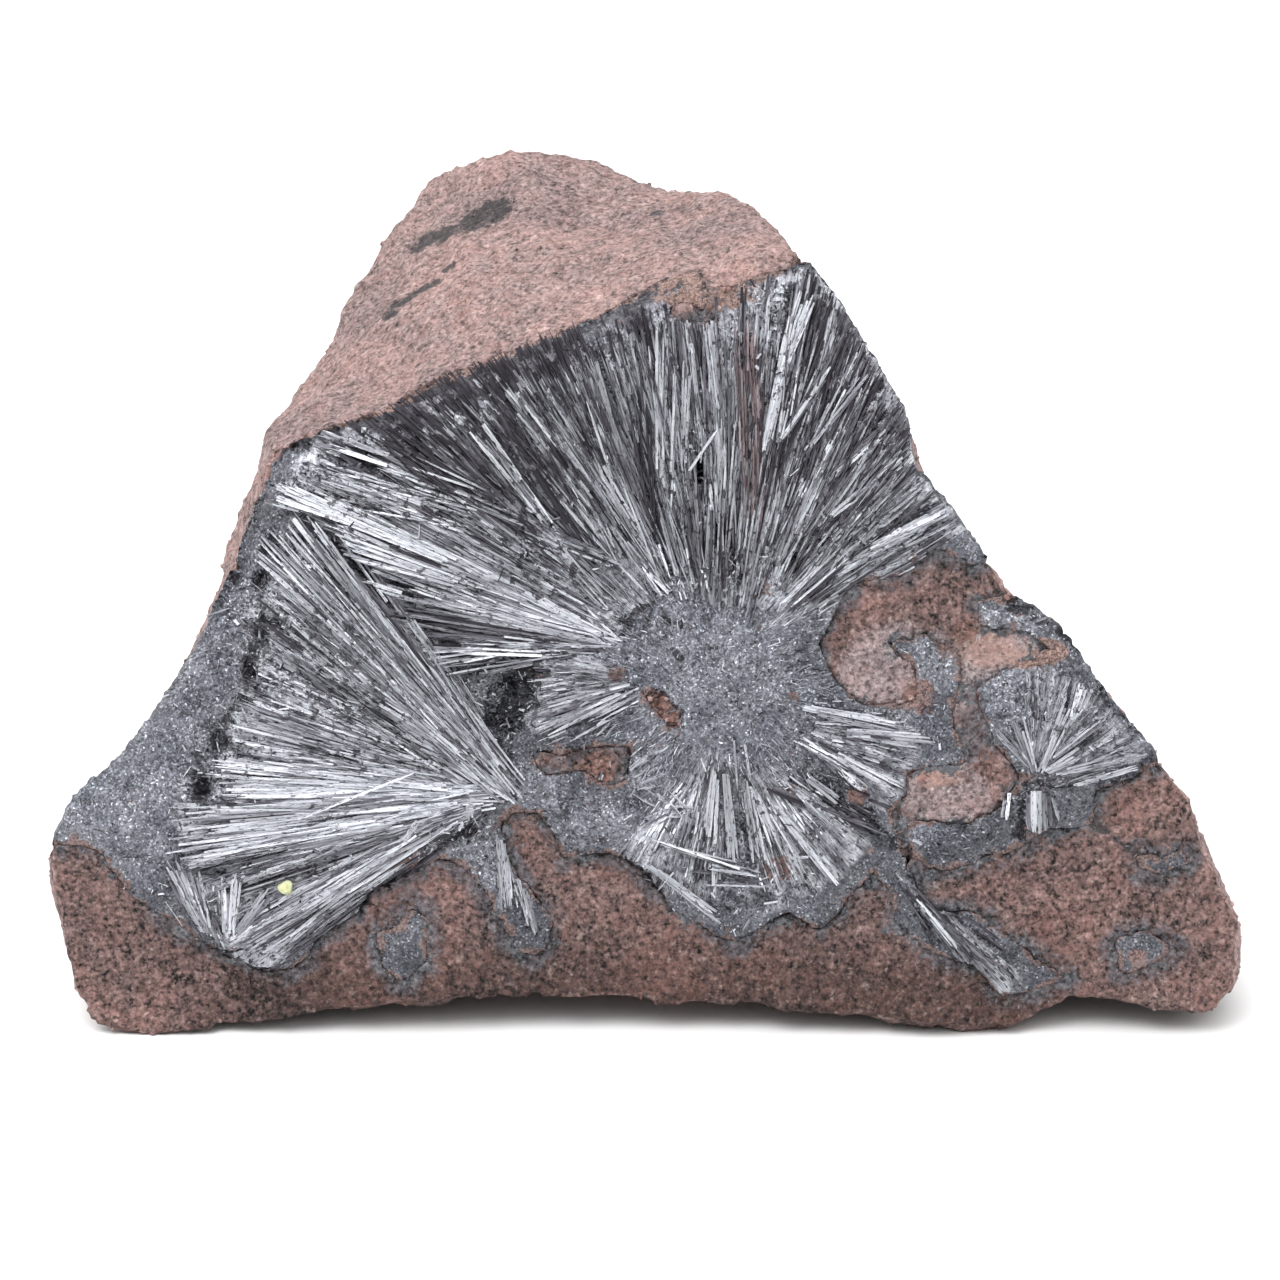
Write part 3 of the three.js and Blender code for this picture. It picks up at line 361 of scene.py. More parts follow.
# Openings in the ore that the stone fills: centre, half widths, how far it comes up and to what level.
PLUGS = [
    (1.0, 25.1, 2.4, 2.6, 3.0, 1.4), (-7, 20.4, 4.5, 2.6, 0.8, 9), (19.2, 15.3, 1.0, 1.8, 3.0, 0.3),
    (20, 13.6, 1.0, 1.0, 2.0, 0.2), (28.3, 29.4, 1.4, 0.9, 2.0, 0.2),
]
YELLOW_GRAIN = (-27.3, 11.7)
# Where the granular ore lies that the upper and lower fans grow out of.
CENTRE = (5.2, 27.0)
# Height of the edge between the face and the stone above it at the middle, and its climb to the right.
RIDGE_HEIGHT, RIDGE_CLIMB = 55.4, 0.395
# Along, up and out of the face. The camera looks straight at the face.
CAMERA_PLACE = (-0.68, 30.3, 269.4)


def to_world(u, v, out):
    """Metres in the shared frame of points given in millimetres along, up and out of the face."""
    u, v, out = (np.asarray(x, float)[..., None] for x in (u, v, out))
    return (FACE_ORIGIN + u * ALONG_FACE + v * UP_FACE + out * OUT_OF_FACE) * MM


def to_face(points):
    """Millimetres along, up and out of the face of points given in metres."""
    place = np.asarray(points, float) / MM - FACE_ORIGIN
    return place @ ALONG_FACE, place @ UP_FACE, place @ OUT_OF_FACE


def eased(x, low, high):
    """0 below low, 1 above high, and smooth between."""
    t = np.clip((x - low) / (high - low), 0, 1)
    return t * t * (3 - 2 * t)


def unit(vectors):
    return vectors / np.maximum(np.linalg.norm(vectors, axis=-1, keepdims=True), 1e-12)


# ---------------------------------------------------------------- shading


class Wire:
    """A value that leaves a node. Arithmetic on it adds Math nodes."""

    def __init__(self, shader, socket):
        self.shader, self.socket = shader, socket

    def math(self, operation, *values):
        return self.shader.node("ShaderNodeMath", {"operation": operation}, dict(enumerate(values)))

    def __add__(self, other):
        return self.math("ADD", self, other)

    __radd__ = __add__

    def __sub__(self, other):
        return self.math("SUBTRACT", self, other)

    def __rsub__(self, other):
        return self.math("SUBTRACT", other, self)

    def __mul__(self, other):
        return self.math("MULTIPLY", self, other)

    __rmul__ = __mul__

    def or_more(self, other):
        return self.math("MAXIMUM", self, other)

    def above(self, low, high):
        """0 where the value is under low, 1 where it is over high, and smooth between."""
        settings = {"interpolation_type": "SMOOTHSTEP"}
        sockets = {"Value": self, "From Min": low, "From Max": high}
        return self.shader.node("ShaderNodeMapRange", settings, sockets)


class Shader:
    """One node tree, filled by method calls."""

    def __init__(self, tree):
        self.tree = tree
        tree.nodes.clear()

    def node(self, kind, settings=None, values=None, output=0):
        """Adds a node, sets it, then sets or links its sockets, and gives one of its outputs."""
        made = self.tree.nodes.new(kind)
        for name, value in (settings or {}).items():
            if name == "stops":
                stops = made.color_ramp.elements
                while len(stops) < len(value):
                    stops.new(0.5)
                for stop, (place, colour) in zip(stops, value):
                    stop.position, stop.color = place, (*colour, 1)
            else:
                setattr(made, name, value)
        for name, value in (values or {}).items():
            if isinstance(value, Wire):
                self.tree.links.new(value.socket, made.inputs[name])
            else:
                made.inputs[name].default_value = value
        return Wire(self, made.outputs[output]) if len(made.outputs) else made

    def place(self):
        return self.node("ShaderNodeTexCoord", output="Object")

    def attribute(self, name):
        return self.node("ShaderNodeAttribute", {"attribute_name": name}, output="Fac")

    def noise(self, where, scale, detail=3.0, rough=0.5):
        sockets = {"Vector": where, "Scale": scale, "Detail": detail, "Roughness": rough}
        return self.node("ShaderNodeTexNoise", None, sockets)

    def noise_colour(self, where, scale):
        sockets = {"Vector": where, "Scale": scale, "Detail": 1.0}
        return self.node("ShaderNodeTexNoise", None, sockets, "Color")

    def cells(self, where, scale):
        return self.node("ShaderNodeTexVoronoi", None, {"Vector": where, "Scale": scale}, "Color")

    def mix(self, share, first, second, blend="MIX"):
        """Second laid over first by the share, as colours."""
        colours = [(*c, 1) if isinstance(c, (tuple, list)) else c for c in (first, second)]
        settings = {"data_type": "RGBA", "blend_type": blend}
        return self.node("ShaderNodeMix", settings, {0: share, 6: colours[0], 7: colours[1]}, 2)

    def vector(self, operation, *values):
        return self.node("ShaderNodeVectorMath", {"operation": operation}, dict(enumerate(values)))

    def scaled(self, vector, amount):
        return self.node("ShaderNodeVectorMath", {"operation": "SCALE"}, {0: vector, "Scale": amount})

    def channel(self, colour, name):
        return self.node("ShaderNodeSeparateColor", None, {0: colour}, name)

    def facets(self, where, scale, tilt):
        """A surface normal turned a different way in each small cell, as crystal faces are."""
        turned = self.node("ShaderNodeNewGeometry", output="Normal")
        for size, amount in zip(scale, tilt):
            spread = self.vector("SUBTRACT", self.cells(where, size), (0.5, 0.5, 0.5))
            turned = self.vector("ADD", turned, self.scaled(spread, amount))
        return self.vector("NORMALIZE", turned)

    def bump(self, height, strength, distance, normal=None):
        values = {"Strength": strength, "Distance": distance, "Height": height}
        if normal:
            values["Normal"] = normal
        return self.node("ShaderNodeBump", None, values)

    def surface(self, **values):
        """The surface itself, from the sockets' names with underscores for spaces."""
        sockets = {name.replace("_", " "): value for name, value in values.items()}
        shade = self.node("ShaderNodeBsdfPrincipled", None, sockets)
        self.node("ShaderNodeOutputMaterial", None, {"Surface": shade})


def new_material(name):
    material = bpy.data.materials.new(name)
    material.use_nodes = True
    return material, Shader(material.node_tree)


def sandstone_material(stone, loose=False):
    """Cemented sand: grains of many browns, pinker where weathered, sooty near the ore, darker at the foot
    of the broken face, with painted shade on the undersides near the floor.
    """
    material, s = new_material("sand_grain" if loose else "sandstone")
    where = s.place()
    weathered, near_ore = s.attribute("weathered"), s.attribute("near_ore")
    dark, red = s.attribute("dark"), s.attribute("red")
    pale, low, orange = s.attribute("pale"), s.attribute("low"), s.attribute("orange")
    broad, medium = s.noise(where, 130, 4, 0.6), s.noise(where, 520, 4, 0.7)
    fine = s.noise(where, 2300, 5, 0.75)
    if loose:
        chance = s.attribute("chance")
    else:
        strayed = s.vector("ADD", where, s.scaled(s.noise_colour(where, 4000), 0.0002))
        chance = s.channel(s.cells(strayed, 4300), 0)
    mottled = (pale * 1.1 + (medium - 0.5) * 2.6 + (fine - 0.5) * 2.0 - 0.1).above(0.2, 0.95)
    fresh = s.mix(mottled * pale, tuple(stone.fresh_colour), tuple(stone.open_colour))
    fresh = s.mix(orange * 0.8, fresh, tuple(stone.orange_colour))
    # Darker towards the foot of the broken face, and painted shade on undersides near the floor.
    fresh = s.mix(low * 0.8, fresh, tuple(stone.foot_and_shade_colour))
    body = s.mix(weathered, fresh, tuple(stone.weathered_colour))
    warm = (broad * 0.6 + medium * 0.6).above(0.45, 0.8)
    body = s.mix(warm, body, (1.1, 0.95, 0.9), "MULTIPLY")
    cool = (medium * 0.7 + (1 - broad) * 0.6).above(0.6, 0.9)
    body = s.mix(cool, body, (0.86, 0.86, 0.88), "MULTIPLY")
    body = s.mix(red * (0.45 + fine), body, tuple(stone.red_colour))
    patchy = s.noise(where, 330, 3, 0.6)
    soot = near_ore * (1 - red * 0.8) * (1 - orange * 0.7) * (1 - pale * 0.7) * (1 - weathered * 0.6)
    soot = (soot * (patchy * 2.6 - 0.45 + (medium - 0.5) * 3 + (fine - 0.5) * 3)).above(0.3, 0.7)
    crept = (near_ore - red * 0.8 + (border(s, where) - 0.5) * 2.6).above(0.8, 0.9)
    mark = (dark * 0.95 + (medium - 0.5) * 3.0 + (fine - 0.5) * 2.0).above(0.5, 0.72)
    covered = (soot * 0.75).or_more(mark * 0.85)
    body = s.mix(covered, body, tuple(stone.soot_colour))
    crept = crept * (1 - weathered)
    body = s.mix(crept, body, tuple(stone.crept_colour))
    covered = covered.or_more(crept)
    body = s.mix(mark * 0.8, body, tuple(stone.dark_colour))
    blotch = (s.noise(where, 760, 2, 0.5) + (fine - 0.5) * 0.5).above(0.57, 0.75)
    body = s.mix(blotch * (0.5 + pale * 0.4), body, (0.66, 0.5, 0.47), "MULTIPLY")
    cream = (s.noise(where, 1400, 3, 0.6) + (fine - 0.5) * 0.6).above(0.55, 0.75)
    body = s.mix(cream * (0.18 + pale * 0.45), body, tuple(stone.pale_colour))
    coarse = s.noise(where, 1150, 2, 0.6)
    lightness = chance * 0.6 + fine * 2.6 + coarse * 1.2 + (broad - 0.5) * 0.9 - 1.22
    lightness = 1 + (lightness - 1) * (1.45 - weathered * 0.45 - pale * 0.45 - orange * 0.5)
    shade = s.node("ShaderNodeCombineColor", None, {0: lightness, 1: lightness, 2: lightness})
    body = s.mix(1.0, body, shade, "MULTIPLY")
    body = s.mix(chance.above(0.96, 0.99) * 0.12, body, tuple(stone.pale_colour))
    body = s.mix((1 - chance).above(0.9, 0.97) * (0.5 - weathered * 0.25), body, tuple(stone.dark_colour))
    if loose:
        normal = s.bump(fine, 0.5, 0.00012)
    else:
        lumpy = s.bump(s.noise(where, 900, 4, 0.7), 0.8, 0.001)
        normal = s.bump(fine * 0.8 + chance * 0.25, 0.7, 0.0003, lumpy)
    s.surface(Base_Color=body, Roughness=0.92 - covered * 0.4, Metallic=covered * 0.5, Normal=normal)
    return material


def border(s, where):
    """One noise for the stone and the ore, so that the border between them wanders across the seam."""
    return s.noise(where, 640, 5, 0.68)


def needle_stops(ore):
    """Colours along the tone of a needle, from the gaps between them to silver, with painted shade and
    reflection.
    """
    colours = (ore.gap_colour, ore.violet_colour, ore.steel_colour, ore.silver_colour)
    return [(place, tuple(c)) for place, c in zip((0.0, 0.35, 0.7, 1.0), colours)]


def ore_material(ore):
    """Ore that glitters where it is granular, partly with painted glints, and is combed where fans lie,
    with stain at its edges.
    """
    material, s = new_material("granular_ore")
    where = s.place()
    granular, red = s.attribute("granular"), s.attribute("red")
    fibrous, pit = s.attribute("fibrous"), s.attribute("pit")
    medium, fine = s.noise(where, 700, 4, 0.65), s.noise(where, 3600, 4, 0.7)
    chance = s.channel(s.cells(where, 7600), 0)
    lightness = chance * 0.6 + (fine - 0.5) * 1.6 + (medium - 0.5) * 0.7 + 0.35
    body = s.mix(lightness.above(0.3, 1.0), tuple(ore.gap_colour), tuple(ore.dark_colour))
    bright = s.mix(lightness.above(0.2, 1.1), tuple(ore.dark_colour), tuple(ore.grain_colour))
    body = s.mix(granular, body, bright)
    # Painted glints: a few granular cells are made silver.
    body = s.mix(granular * chance.above(0.95, 0.98) * 0.8, body, tuple(ore.silver_colour))
    cloudy = s.noise(where, 300, 4, 0.65)
    cloudy = (cloudy + (fine - 0.5) * 0.7).above(0.44, 0.6)
    body = s.mix(cloudy * 0.75, body, (0.55, 0.57, 0.6), "MULTIPLY")
    place = s.node("ShaderNodeCombineXYZ", None, {0: s.attribute("along"), 1: s.attribute("across")})
    strand = s.noise(s.vector("MULTIPLY", place, (0.6, 11.0, 1.0)), 1.0, 4, 0.7)
    bundle = s.noise(s.vector("MULTIPLY", place, (0.16, 1.3, 1.0)), 1.0, 2, 0.5)
    fleck = s.noise(s.vector("MULTIPLY", place, (1.5, 6.0, 1.0)), 1.0, 2, 0.6).above(0.56, 0.66)
    # Painted shade: the combed ore is darker along the ridge, where the light from above falls.
    level = (strand - 0.5) * 1.3 + (bundle - 0.5) * 1.6 + 0.6 - fleck * 0.55 - s.attribute("ridge") * 0.38
    combed = s.node("ShaderNodeValToRGB", {"stops": needle_stops(ore)}, {0: level})
    woven = (fibrous + (medium - 0.5) * 1.0).above(0.35, 0.65)
    body = s.mix(woven, body, combed)
    # Painted shade: the ore is painted near black in its hollows, and a little darker where the fans are
    # broken.
    hollow_shade = (pit + (medium - 0.5) * 2.6 + (fine - 0.5) * 2.0).above(0.45, 0.75)
    body = s.mix(hollow_shade * 0.85, body, (0.018, 0.018, 0.022))
    patchy = s.noise(where, 330, 3, 0.6)
    rust = (red * (patchy * 1.6 + 0.1) + (medium - 0.5) * 2.2 + (fine - 0.5) * 1.8).above(0.45, 0.75)
    stony = (s.attribute("stony") + (medium - 0.5) * 1.6 + (fine - 0.5) * 1.4).above(0.4, 0.7)
    crept = (s.attribute("edge") - (border(s, where) - 0.5) * 3.2).above(0.5, 0.62)
    crust = s.mix(lightness.above(0.3, 0.95), (0.09, 0.06, 0.055), (0.25, 0.18, 0.17))
    stain = s.mix(lightness.above(0.35, 0.95), (0.5, 0.45, 0.45), (1.7, 1.6, 1.6))
    stain = s.mix(1.0, tuple(ore.stain_colour), stain, "MULTIPLY")
    body = s.mix(rust * 0.9, body, stain)
    sand = s.mix(lightness.above(0.35, 0.95), (0.12, 0.072, 0.06), (0.37, 0.25, 0.22))
    body = s.mix(stony, body, sand)
    body = s.mix(crept, body, crust)
    dull = rust.or_more(stony.or_more(crept))
    normal = s.bump(strand * woven, 0.9, 0.00012, s.facets(where, (4200, 8500), (0.8, 0.8)))
    rough = 0.42 + dull * 0.45 + granular * 0.06
    s.surface(Base_Color=body, Metallic=(1 - dull) * 0.95, Roughness=rough, Normal=normal)
    return material


def needle_material(ore, stained=False):
    """Needles: violet black to silver along their tone, which carries painted reflection and shade, striped
    lengthwise.
    """
    material, s = new_material("stained_needle" if stained else "needle")
    tone = s.attribute("tone")
    lengthwise = s.node("ShaderNodeUVMap", {"uv_map": "lengthwise"})
    stripe = s.noise(s.vector("MULTIPLY", lengthwise, (0.4, 11.0, 1.0)), 1.0, 4, 0.7)
    streak = s.noise(s.vector("MULTIPLY", lengthwise, (0.25, 2.2, 1.0)), 1.0, 2, 0.5)
    fleck = s.noise(s.vector("MULTIPLY", lengthwise, (1.6, 6.0, 1.0)), 1.0, 2, 0.6).above(0.57, 0.66)
    # Painted shade: needles are darker along the ridge, where the light from above falls.
    level = tone + (stripe - 0.5) * 0.9 + (streak - 0.5) * 0.8 - fleck * 0.55 - s.attribute("ridge") * 0.38
    stops = needle_stops(ore)
    if stained:
        stops = [(0.0, tuple(ore.gap_colour)), (0.5, (0.32, 0.245, 0.255)), (1.0, tuple(ore.steel_colour))]
    body = s.node("ShaderNodeValToRGB", {"stops": stops}, {0: level})
    where = s.place()
    # Painted shade: dark spots on the needles stand for voids between them, a few more where the fans are
    # broken.
    void_shade_spots = s.attribute("worn") * 0.12 + s.noise(where, 1500, 3, 0.6)
    void_shade_spots = void_shade_spots + (s.noise(where, 5000, 2, 0.5) - 0.5) * 0.35
    body = s.mix(void_shade_spots.above(0.66, 0.74) * 0.85, body, tuple(ore.gap_colour))
    normal = s.bump(stripe, 0.8, 0.0001)
    s.surface(Base_Color=body, Metallic=0.97, Roughness=0.34 + (1 - tone) * 0.12, Normal=normal)
    return material


# ---------------------------------------------------------------- skins over the solids


def merged_copy(node):
    """A CAD solid's faces joined into one closed bmesh."""
    bm = bmesh.new()
    bm.from_mesh(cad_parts[node].data)
    bmesh.ops.remove_doubles(bm, verts=bm.verts, dist=1e-6)
    return bm


def new_piece(name, mesh, material, replaced=()):
    """An object at the origin that rides on the body and wears the given material."""
    piece = bpy.data.objects.new(name, mesh)
    bpy.context.scene.collection.objects.link(piece)
    mesh.materials.clear()
    mesh.materials.append(material)
    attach(piece, "root")
    if replaced:
        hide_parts(*replaced)
    return piece


def skin(node, name, voxel, reliefs):
    """A CAD solid's shape as an even skin, roughened by reliefs: pattern, size, height, middle level."""
    bm = merged_copy(node)
    mesh = bpy.data.meshes.new(name)
    bm.to_mesh(mesh)
    bm.free()
    shape = bpy.data.objects.new(name, mesh)
    bpy.context.scene.collection.objects.link(shape)
    remesh = shape.modifiers.new("even skin", "REMESH")
    remesh.mode, remesh.voxel_size = "VOXEL", voxel
    for i, (pattern, size, height, middle) in enumerate(reliefs):
        texture = bpy.data.textures.new(f"{name} relief {i}", pattern)
        texture.noise_scale = size
        if pattern == "CLOUDS":
            texture.noise_depth = 3
        relief = shape.modifiers.new(f"relief {i}", "DISPLACE")
        relief.texture, relief.texture_coords = texture, "LOCAL"
        relief.strength, relief.mid_level = height, middle
    finished = bpy.data.meshes.new_from_object(shape.evaluated_get(bpy.context.evaluated_depsgraph_get()))
    finished.name = name
    bpy.data.objects.remove(shape)
    bpy.data.meshes.remove(mesh)
    finished.polygons.foreach_set("use_smooth", np.ones(len(finished.polygons), bool))
    return finished


def of_corners(mesh, key):
    """One vector of each vertex, as rows."""
    flat = np.empty(len(mesh.vertices) * 3)
    mesh.vertices.foreach_get(key, flat)
    return flat.reshape(-1, 3)


def points_of(mesh):
    return of_corners(mesh, "co")


def normals_of(mesh):
    return of_corners(mesh, "normal")


def set_points(mesh, points):
    mesh.vertices.foreach_set("co", points.ravel())
    mesh.update()


def paint(mesh, **layers):
    """Numbers at each vertex, by name, for the materials to read."""
    for name, values in layers.items():
        layer = mesh.attributes.new(name, "FLOAT", "POINT")
        layer.data.foreach_set("value", np.ascontiguousarray(values, np.float32))


def painted(mesh, name):
    """The numbers that paint gave the vertices."""
    values = np.empty(len(mesh.vertices), np.float32)
    mesh.attributes[name].data.foreach_get("value", values)
    return values


def arrays_of(bm):
    """A small bmesh's points and faces as arrays. Frees it."""
    bm.verts.index_update()
    points = np.array([v.co for v in bm.verts])
    faces = np.array([[v.index for v in f.verts] for f in bm.faces])
    bm.free()
    return points, faces


def joined(name, points, faces):
    """One mesh of many copies of a shape, and its faces: points by copy and corner, faces of one copy."""
    count, corners = points.shape[:2]
    faces = (faces[None] + (np.arange(count) * corners)[:, None, None]).reshape(-1, 3)
    mesh = bpy.data.meshes.new(name)
    mesh.from_pydata(points.reshape(-1, 3), [], faces)
    return mesh, faces


def tree_of(meshes):
    """One search tree over several meshes."""
    points, faces, start = [], [], 0
    for mesh in meshes:
        mesh.calc_loop_triangles()
        corners = np.empty(len(mesh.loop_triangles) * 3, int)
        mesh.loop_triangles.foreach_get("vertices", corners)
        points.append(points_of(mesh))
        faces.append(corners.reshape(-1, 3) + start)
        start += len(mesh.vertices)
    return BVHTree.FromPolygons(np.vstack(points).tolist(), np.vstack(faces).tolist())


def line_mask(u, v, lines):
    """How far inside any of the lines, each two ends and a half width, a place is: 1 at the middle."""
    inside = np.zeros_like(u)
    for (u0, v0), (u1, v1), width in lines:
        du, dv = u1 - u0, v1 - v0
        share = np.clip(((u - u0) * du + (v - v0) * dv) / (du * du + dv * dv), 0, 1)
        away = np.hypot(u - u0 - share * du, v - v0 - share * dv)
        inside = np.maximum(inside, 1 - eased(away, 0.3 * width, 1.5 * width))
    return inside


def blob_mask(u, v, blobs):
    """The same for ellipses, each a centre and half widths."""
    inside = np.zeros_like(u)
    for u0, v0, ru, rv in blobs:
        inside = np.maximum(inside, 1 - eased(np.hypot((u - u0) / ru, (v - v0) / rv), 0.7, 1.15))
    return inside


def spot_mask(u, v, spots):
    """The same for circles, each a centre and a radius."""
    return blob_mask(u, v, [(*spot, spot[-1]) for spot in spots])


def fan_places(u, v):
    """How fibrous the ore is at a place, and the place's distance from its fan's centre and turn."""
    fibrous, along, across = np.zeros_like(u), np.zeros_like(u), np.zeros_like(u)
    for (u0, v0), low, high, near, far, _ in FANS:
        reach = np.hypot(u - u0, v - v0)
        middle, half = math.radians((low + high) / 2), math.radians((high - low) / 2)
        turn = (np.arctan2(v - v0, u - u0) - middle + math.pi) % (2 * math.pi) - math.pi
        inside = (1 - eased(np.abs(turn) / half, 0.95, 1.1)) * eased(reach, near - 2, near + 1)
        inside *= 1 - eased(reach, far - 1, far + 2)
        here = inside > fibrous
        fibrous = np.where(here, inside, fibrous)
        along = np.where(here, reach, along)
        across = np.where(here, (turn + middle) * 12, across)
    return fibrous, along, across


def banked(points, ore, height):
    """Stone moved up against the ore beside it, higher in some places than in others."""
    moved = points.copy()
    for i, point in enumerate(points.tolist()):
        near, _, _, away = ore.find_nearest(point, BANK_REACH)
        if away is None:
            continue
        share = 1 - away / BANK_REACH
        rise = 0.55 + 1.1 * noise.noise(Vector(point) * 420) + 0.6 * noise.noise(Vector(point) * 1300)
        moved[i] += (np.array(near) - points[i]) * share * 1.1 + OUT_OF_FACE * share * rise * height
    return moved


def nearness(tree, points, reach):
    """1 on the tree's surface, 0 at the reach from it."""
    near = [tree.find_nearest(p, reach * 1.01)[3] for p in points.tolist()]
    away = np.array([reach if d is None else min(d, reach) for d in near])
    return 1 - away / reach


# ---------------------------------------------------------------- needles


def blurred(field, known, reach=3):
    """A grid's values averaged over their neighbours, three times over, without the unknown ones."""
    total, count = np.where(known, field, 0.0), known.astype(float)
    for _ in range(3):
        for axis in (0, 1):
            total, count = (
                sum(np.roll(x, k, axis) for k in range(-reach, reach + 1)) for x in (total, count)
            )
    return total / np.maximum(count, 1e-6)


class Ground:
    """Heights of ore and stone over a grid on the face, so that needles can be laid on it at once."""

    STEP, LOW, HIGH = 0.25, (-48.0, -3.0), (48.0, 70.0)

    def __init__(self, ore, stone):
        self.us = np.arange(self.LOW[0], self.HIGH[0], self.STEP)
        self.vs = np.arange(self.LOW[1], self.HIGH[1], self.STEP)
        grid_u, grid_v = np.meshgrid(self.us, self.vs)
        starts = to_world(grid_u.ravel(), grid_v.ravel(), np.full(grid_u.size, ABOVE_ALL)).tolist()
        inward = Vector(-OUT_OF_FACE)
        heights = []
        for tree in (ore, stone):
            hits = [tree.ray_cast(p, inward)[3] for p in starts]
            heights.append(np.array([NO_GROUND if d is None else ABOVE_ALL - d / MM for d in hits]))
        ore_height, stone_height = heights
        self.height = np.maximum(ore_height, stone_height).reshape(grid_u.shape)
        on_face = self.height > -6
        self.blurred = np.where(on_face, blurred(self.height, on_face), self.height)
        on_ore = (ore_height > stone_height) & (ore_height > -4.5)
        self.ore = on_ore.reshape(grid_u.shape).astype(float)
        share = blurred(self.ore, on_face)
        self.edge = np.clip(5 * share * (1 - share), 0, 1)
        self.inner = self.ore.copy()
        for shift in (-3, 3):
            for axis in (0, 1):
                self.inner = np.minimum(self.inner, np.roll(self.ore, shift, axis))

    def read(self, field, u, v):
        """The field at any place, between its grid points too."""
        rows, columns = field.shape
        x = np.clip((u - self.LOW[0]) / self.STEP, 0, columns - 1.001)
        y = np.clip((v - self.LOW[1]) / self.STEP, 0, rows - 1.001)
        i, j = y.astype(int), x.astype(int)
        a, b = y - i, x - j
        low = field[i, j] * (1 - b) + field[i, j + 1] * b
        high = field[i + 1, j] * (1 - b) + field[i + 1, j + 1] * b
        return low * (1 - a) + high * a


def falling_shade(ground, u, v):
    """Where the ground falls away behind the ridge, which catches the light from above; needles there are
    given painted shade.
    """
    drop = ground.read(ground.height, u, v - 0.4) - ground.read(ground.height, u, v + 0.8)
    return eased(drop, 0.12, 0.9) * (v > 30)


def ridge_shade_share(u, v):
    """1 along the edge between the face and the stone above it, 0 a little below, and 0 at its left end.
    Along it needles and ore are given painted shade against the light from above.
    """
    return eased(v - (RIDGE_HEIGHT + RIDGE_CLIMB * u) + 2.6, 0, 2.0) * eased(u, -24, -19)


def levelled(mesh, ground):
    """Draws the ore and the stone to one height where they meet on the face."""
    points = points_of(mesh)
    u, v, out = to_face(points)
    here, soft, edge = (ground.read(field, u, v) for field in (ground.height, ground.blurred, ground.edge))
    share = edge * (1 - eased(np.abs(out - here), 0.3, 1.0)) * eased(out, -5, -3)
    set_points(mesh, points + (np.clip(soft - here, -0.7, 0.7) * share * MM)[:, None] * OUT_OF_FACE)


def needle_shape(sides, ring=True):
    """A straight needle a unit long and wide: a prism, with one ring near its tip where it tapers."""
    bm = bmesh.new()
    bmesh.ops.create_cone(bm, cap_ends=True, segments=sides, radius1=1, radius2=1, depth=1)
    bmesh.ops.translate(bm, verts=bm.verts, vec=(0, 0, 0.5))
    bmesh.ops.rotate(bm, verts=bm.verts, matrix=Matrix.Rotation(math.pi / sides, 3, "Z"))
    bmesh.ops.rotate(bm, verts=bm.verts, matrix=Matrix.Rotation(math.pi / 2, 3, "Y"))
    if ring:
        whole = bm.verts[:] + bm.edges[:] + bm.faces[:]
        bmesh.ops.bisect_plane(bm, geom=whole, plane_co=(0.8, 0, 0), plane_no=(1, 0, 0))
    bmesh.ops.triangulate(bm, faces=bm.faces)
    bmesh.ops.recalc_face_normals(bm, faces=bm.faces)
    points, faces = arrays_of(bm)
    points[:, 1:] /= np.abs(points[:, 1:]).max(axis=0)
    return points, faces


class Needles:
    """Needles gathered as arrays, then written as one mesh."""

    def __init__(self, shape):
        self.points, self.faces = shape
        self.placed = []

    def add(self, root, tip, out, roll, half_width, half_height, tip_share, tone):
        """Needles from root to tip in metres, rolled about their length away from the out direction."""
        length = np.linalg.norm(tip - root, axis=1, keepdims=True)
        along = (tip - root) / np.maximum(length, 1e-9)
        side = unit(np.cross(out, along))
        top = np.cross(along, side)
        turn = np.radians(roll)[:, None]
        side, top = side * np.cos(turn) + top * np.sin(turn), top * np.cos(turn) - side * np.sin(turn)
        self.placed.append((root, along * length, side, top, half_width, half_height, tip_share, tone))

    def mesh(self, name, rng):
        root, along, side, top, half_width, half_height, tip_share, tone = (
            np.concatenate(parts) for parts in zip(*self.placed)
        )
        count, corners = len(root), len(self.points)
        x, y, z = self.points.T
        narrow = np.where(x[None] > 0.99, tip_share[:, None], np.where(x[None] > 0.5, 0.9, 0.8))
        points = (
            root[:, None]
            + along[:, None] * x[None, :, None]
            + side[:, None] * (y[None] * half_width[:, None] * narrow)[..., None] * MM
            + top[:, None] * (z[None] * half_height[:, None] * narrow)[..., None] * MM
        )
        mesh, faces = joined(name, points, self.faces)
        u, v = to_face(points.reshape(-1, 3))[:2]
        paint(mesh, tone=np.repeat(tone, corners), worn=blob_mask(u, v, RAGGED), ridge=ridge_shade_share(u, v))
        long_mm = np.linalg.norm(along, axis=1) / MM
        offset = rng.uniform(0, 200, (count, 2))
        lengthwise = x[None] * long_mm[:, None] + offset[:, :1]
        crosswise = y[None] * half_width[:, None] + offset[:, 1:]
        places = np.stack([lengthwise, crosswise], axis=-1).reshape(-1, 2)
        layer = mesh.uv_layers.new(name="lengthwise")
        layer.data.foreach_set("uv", places[faces.ravel()].astype(np.float32).ravel())
        return mesh


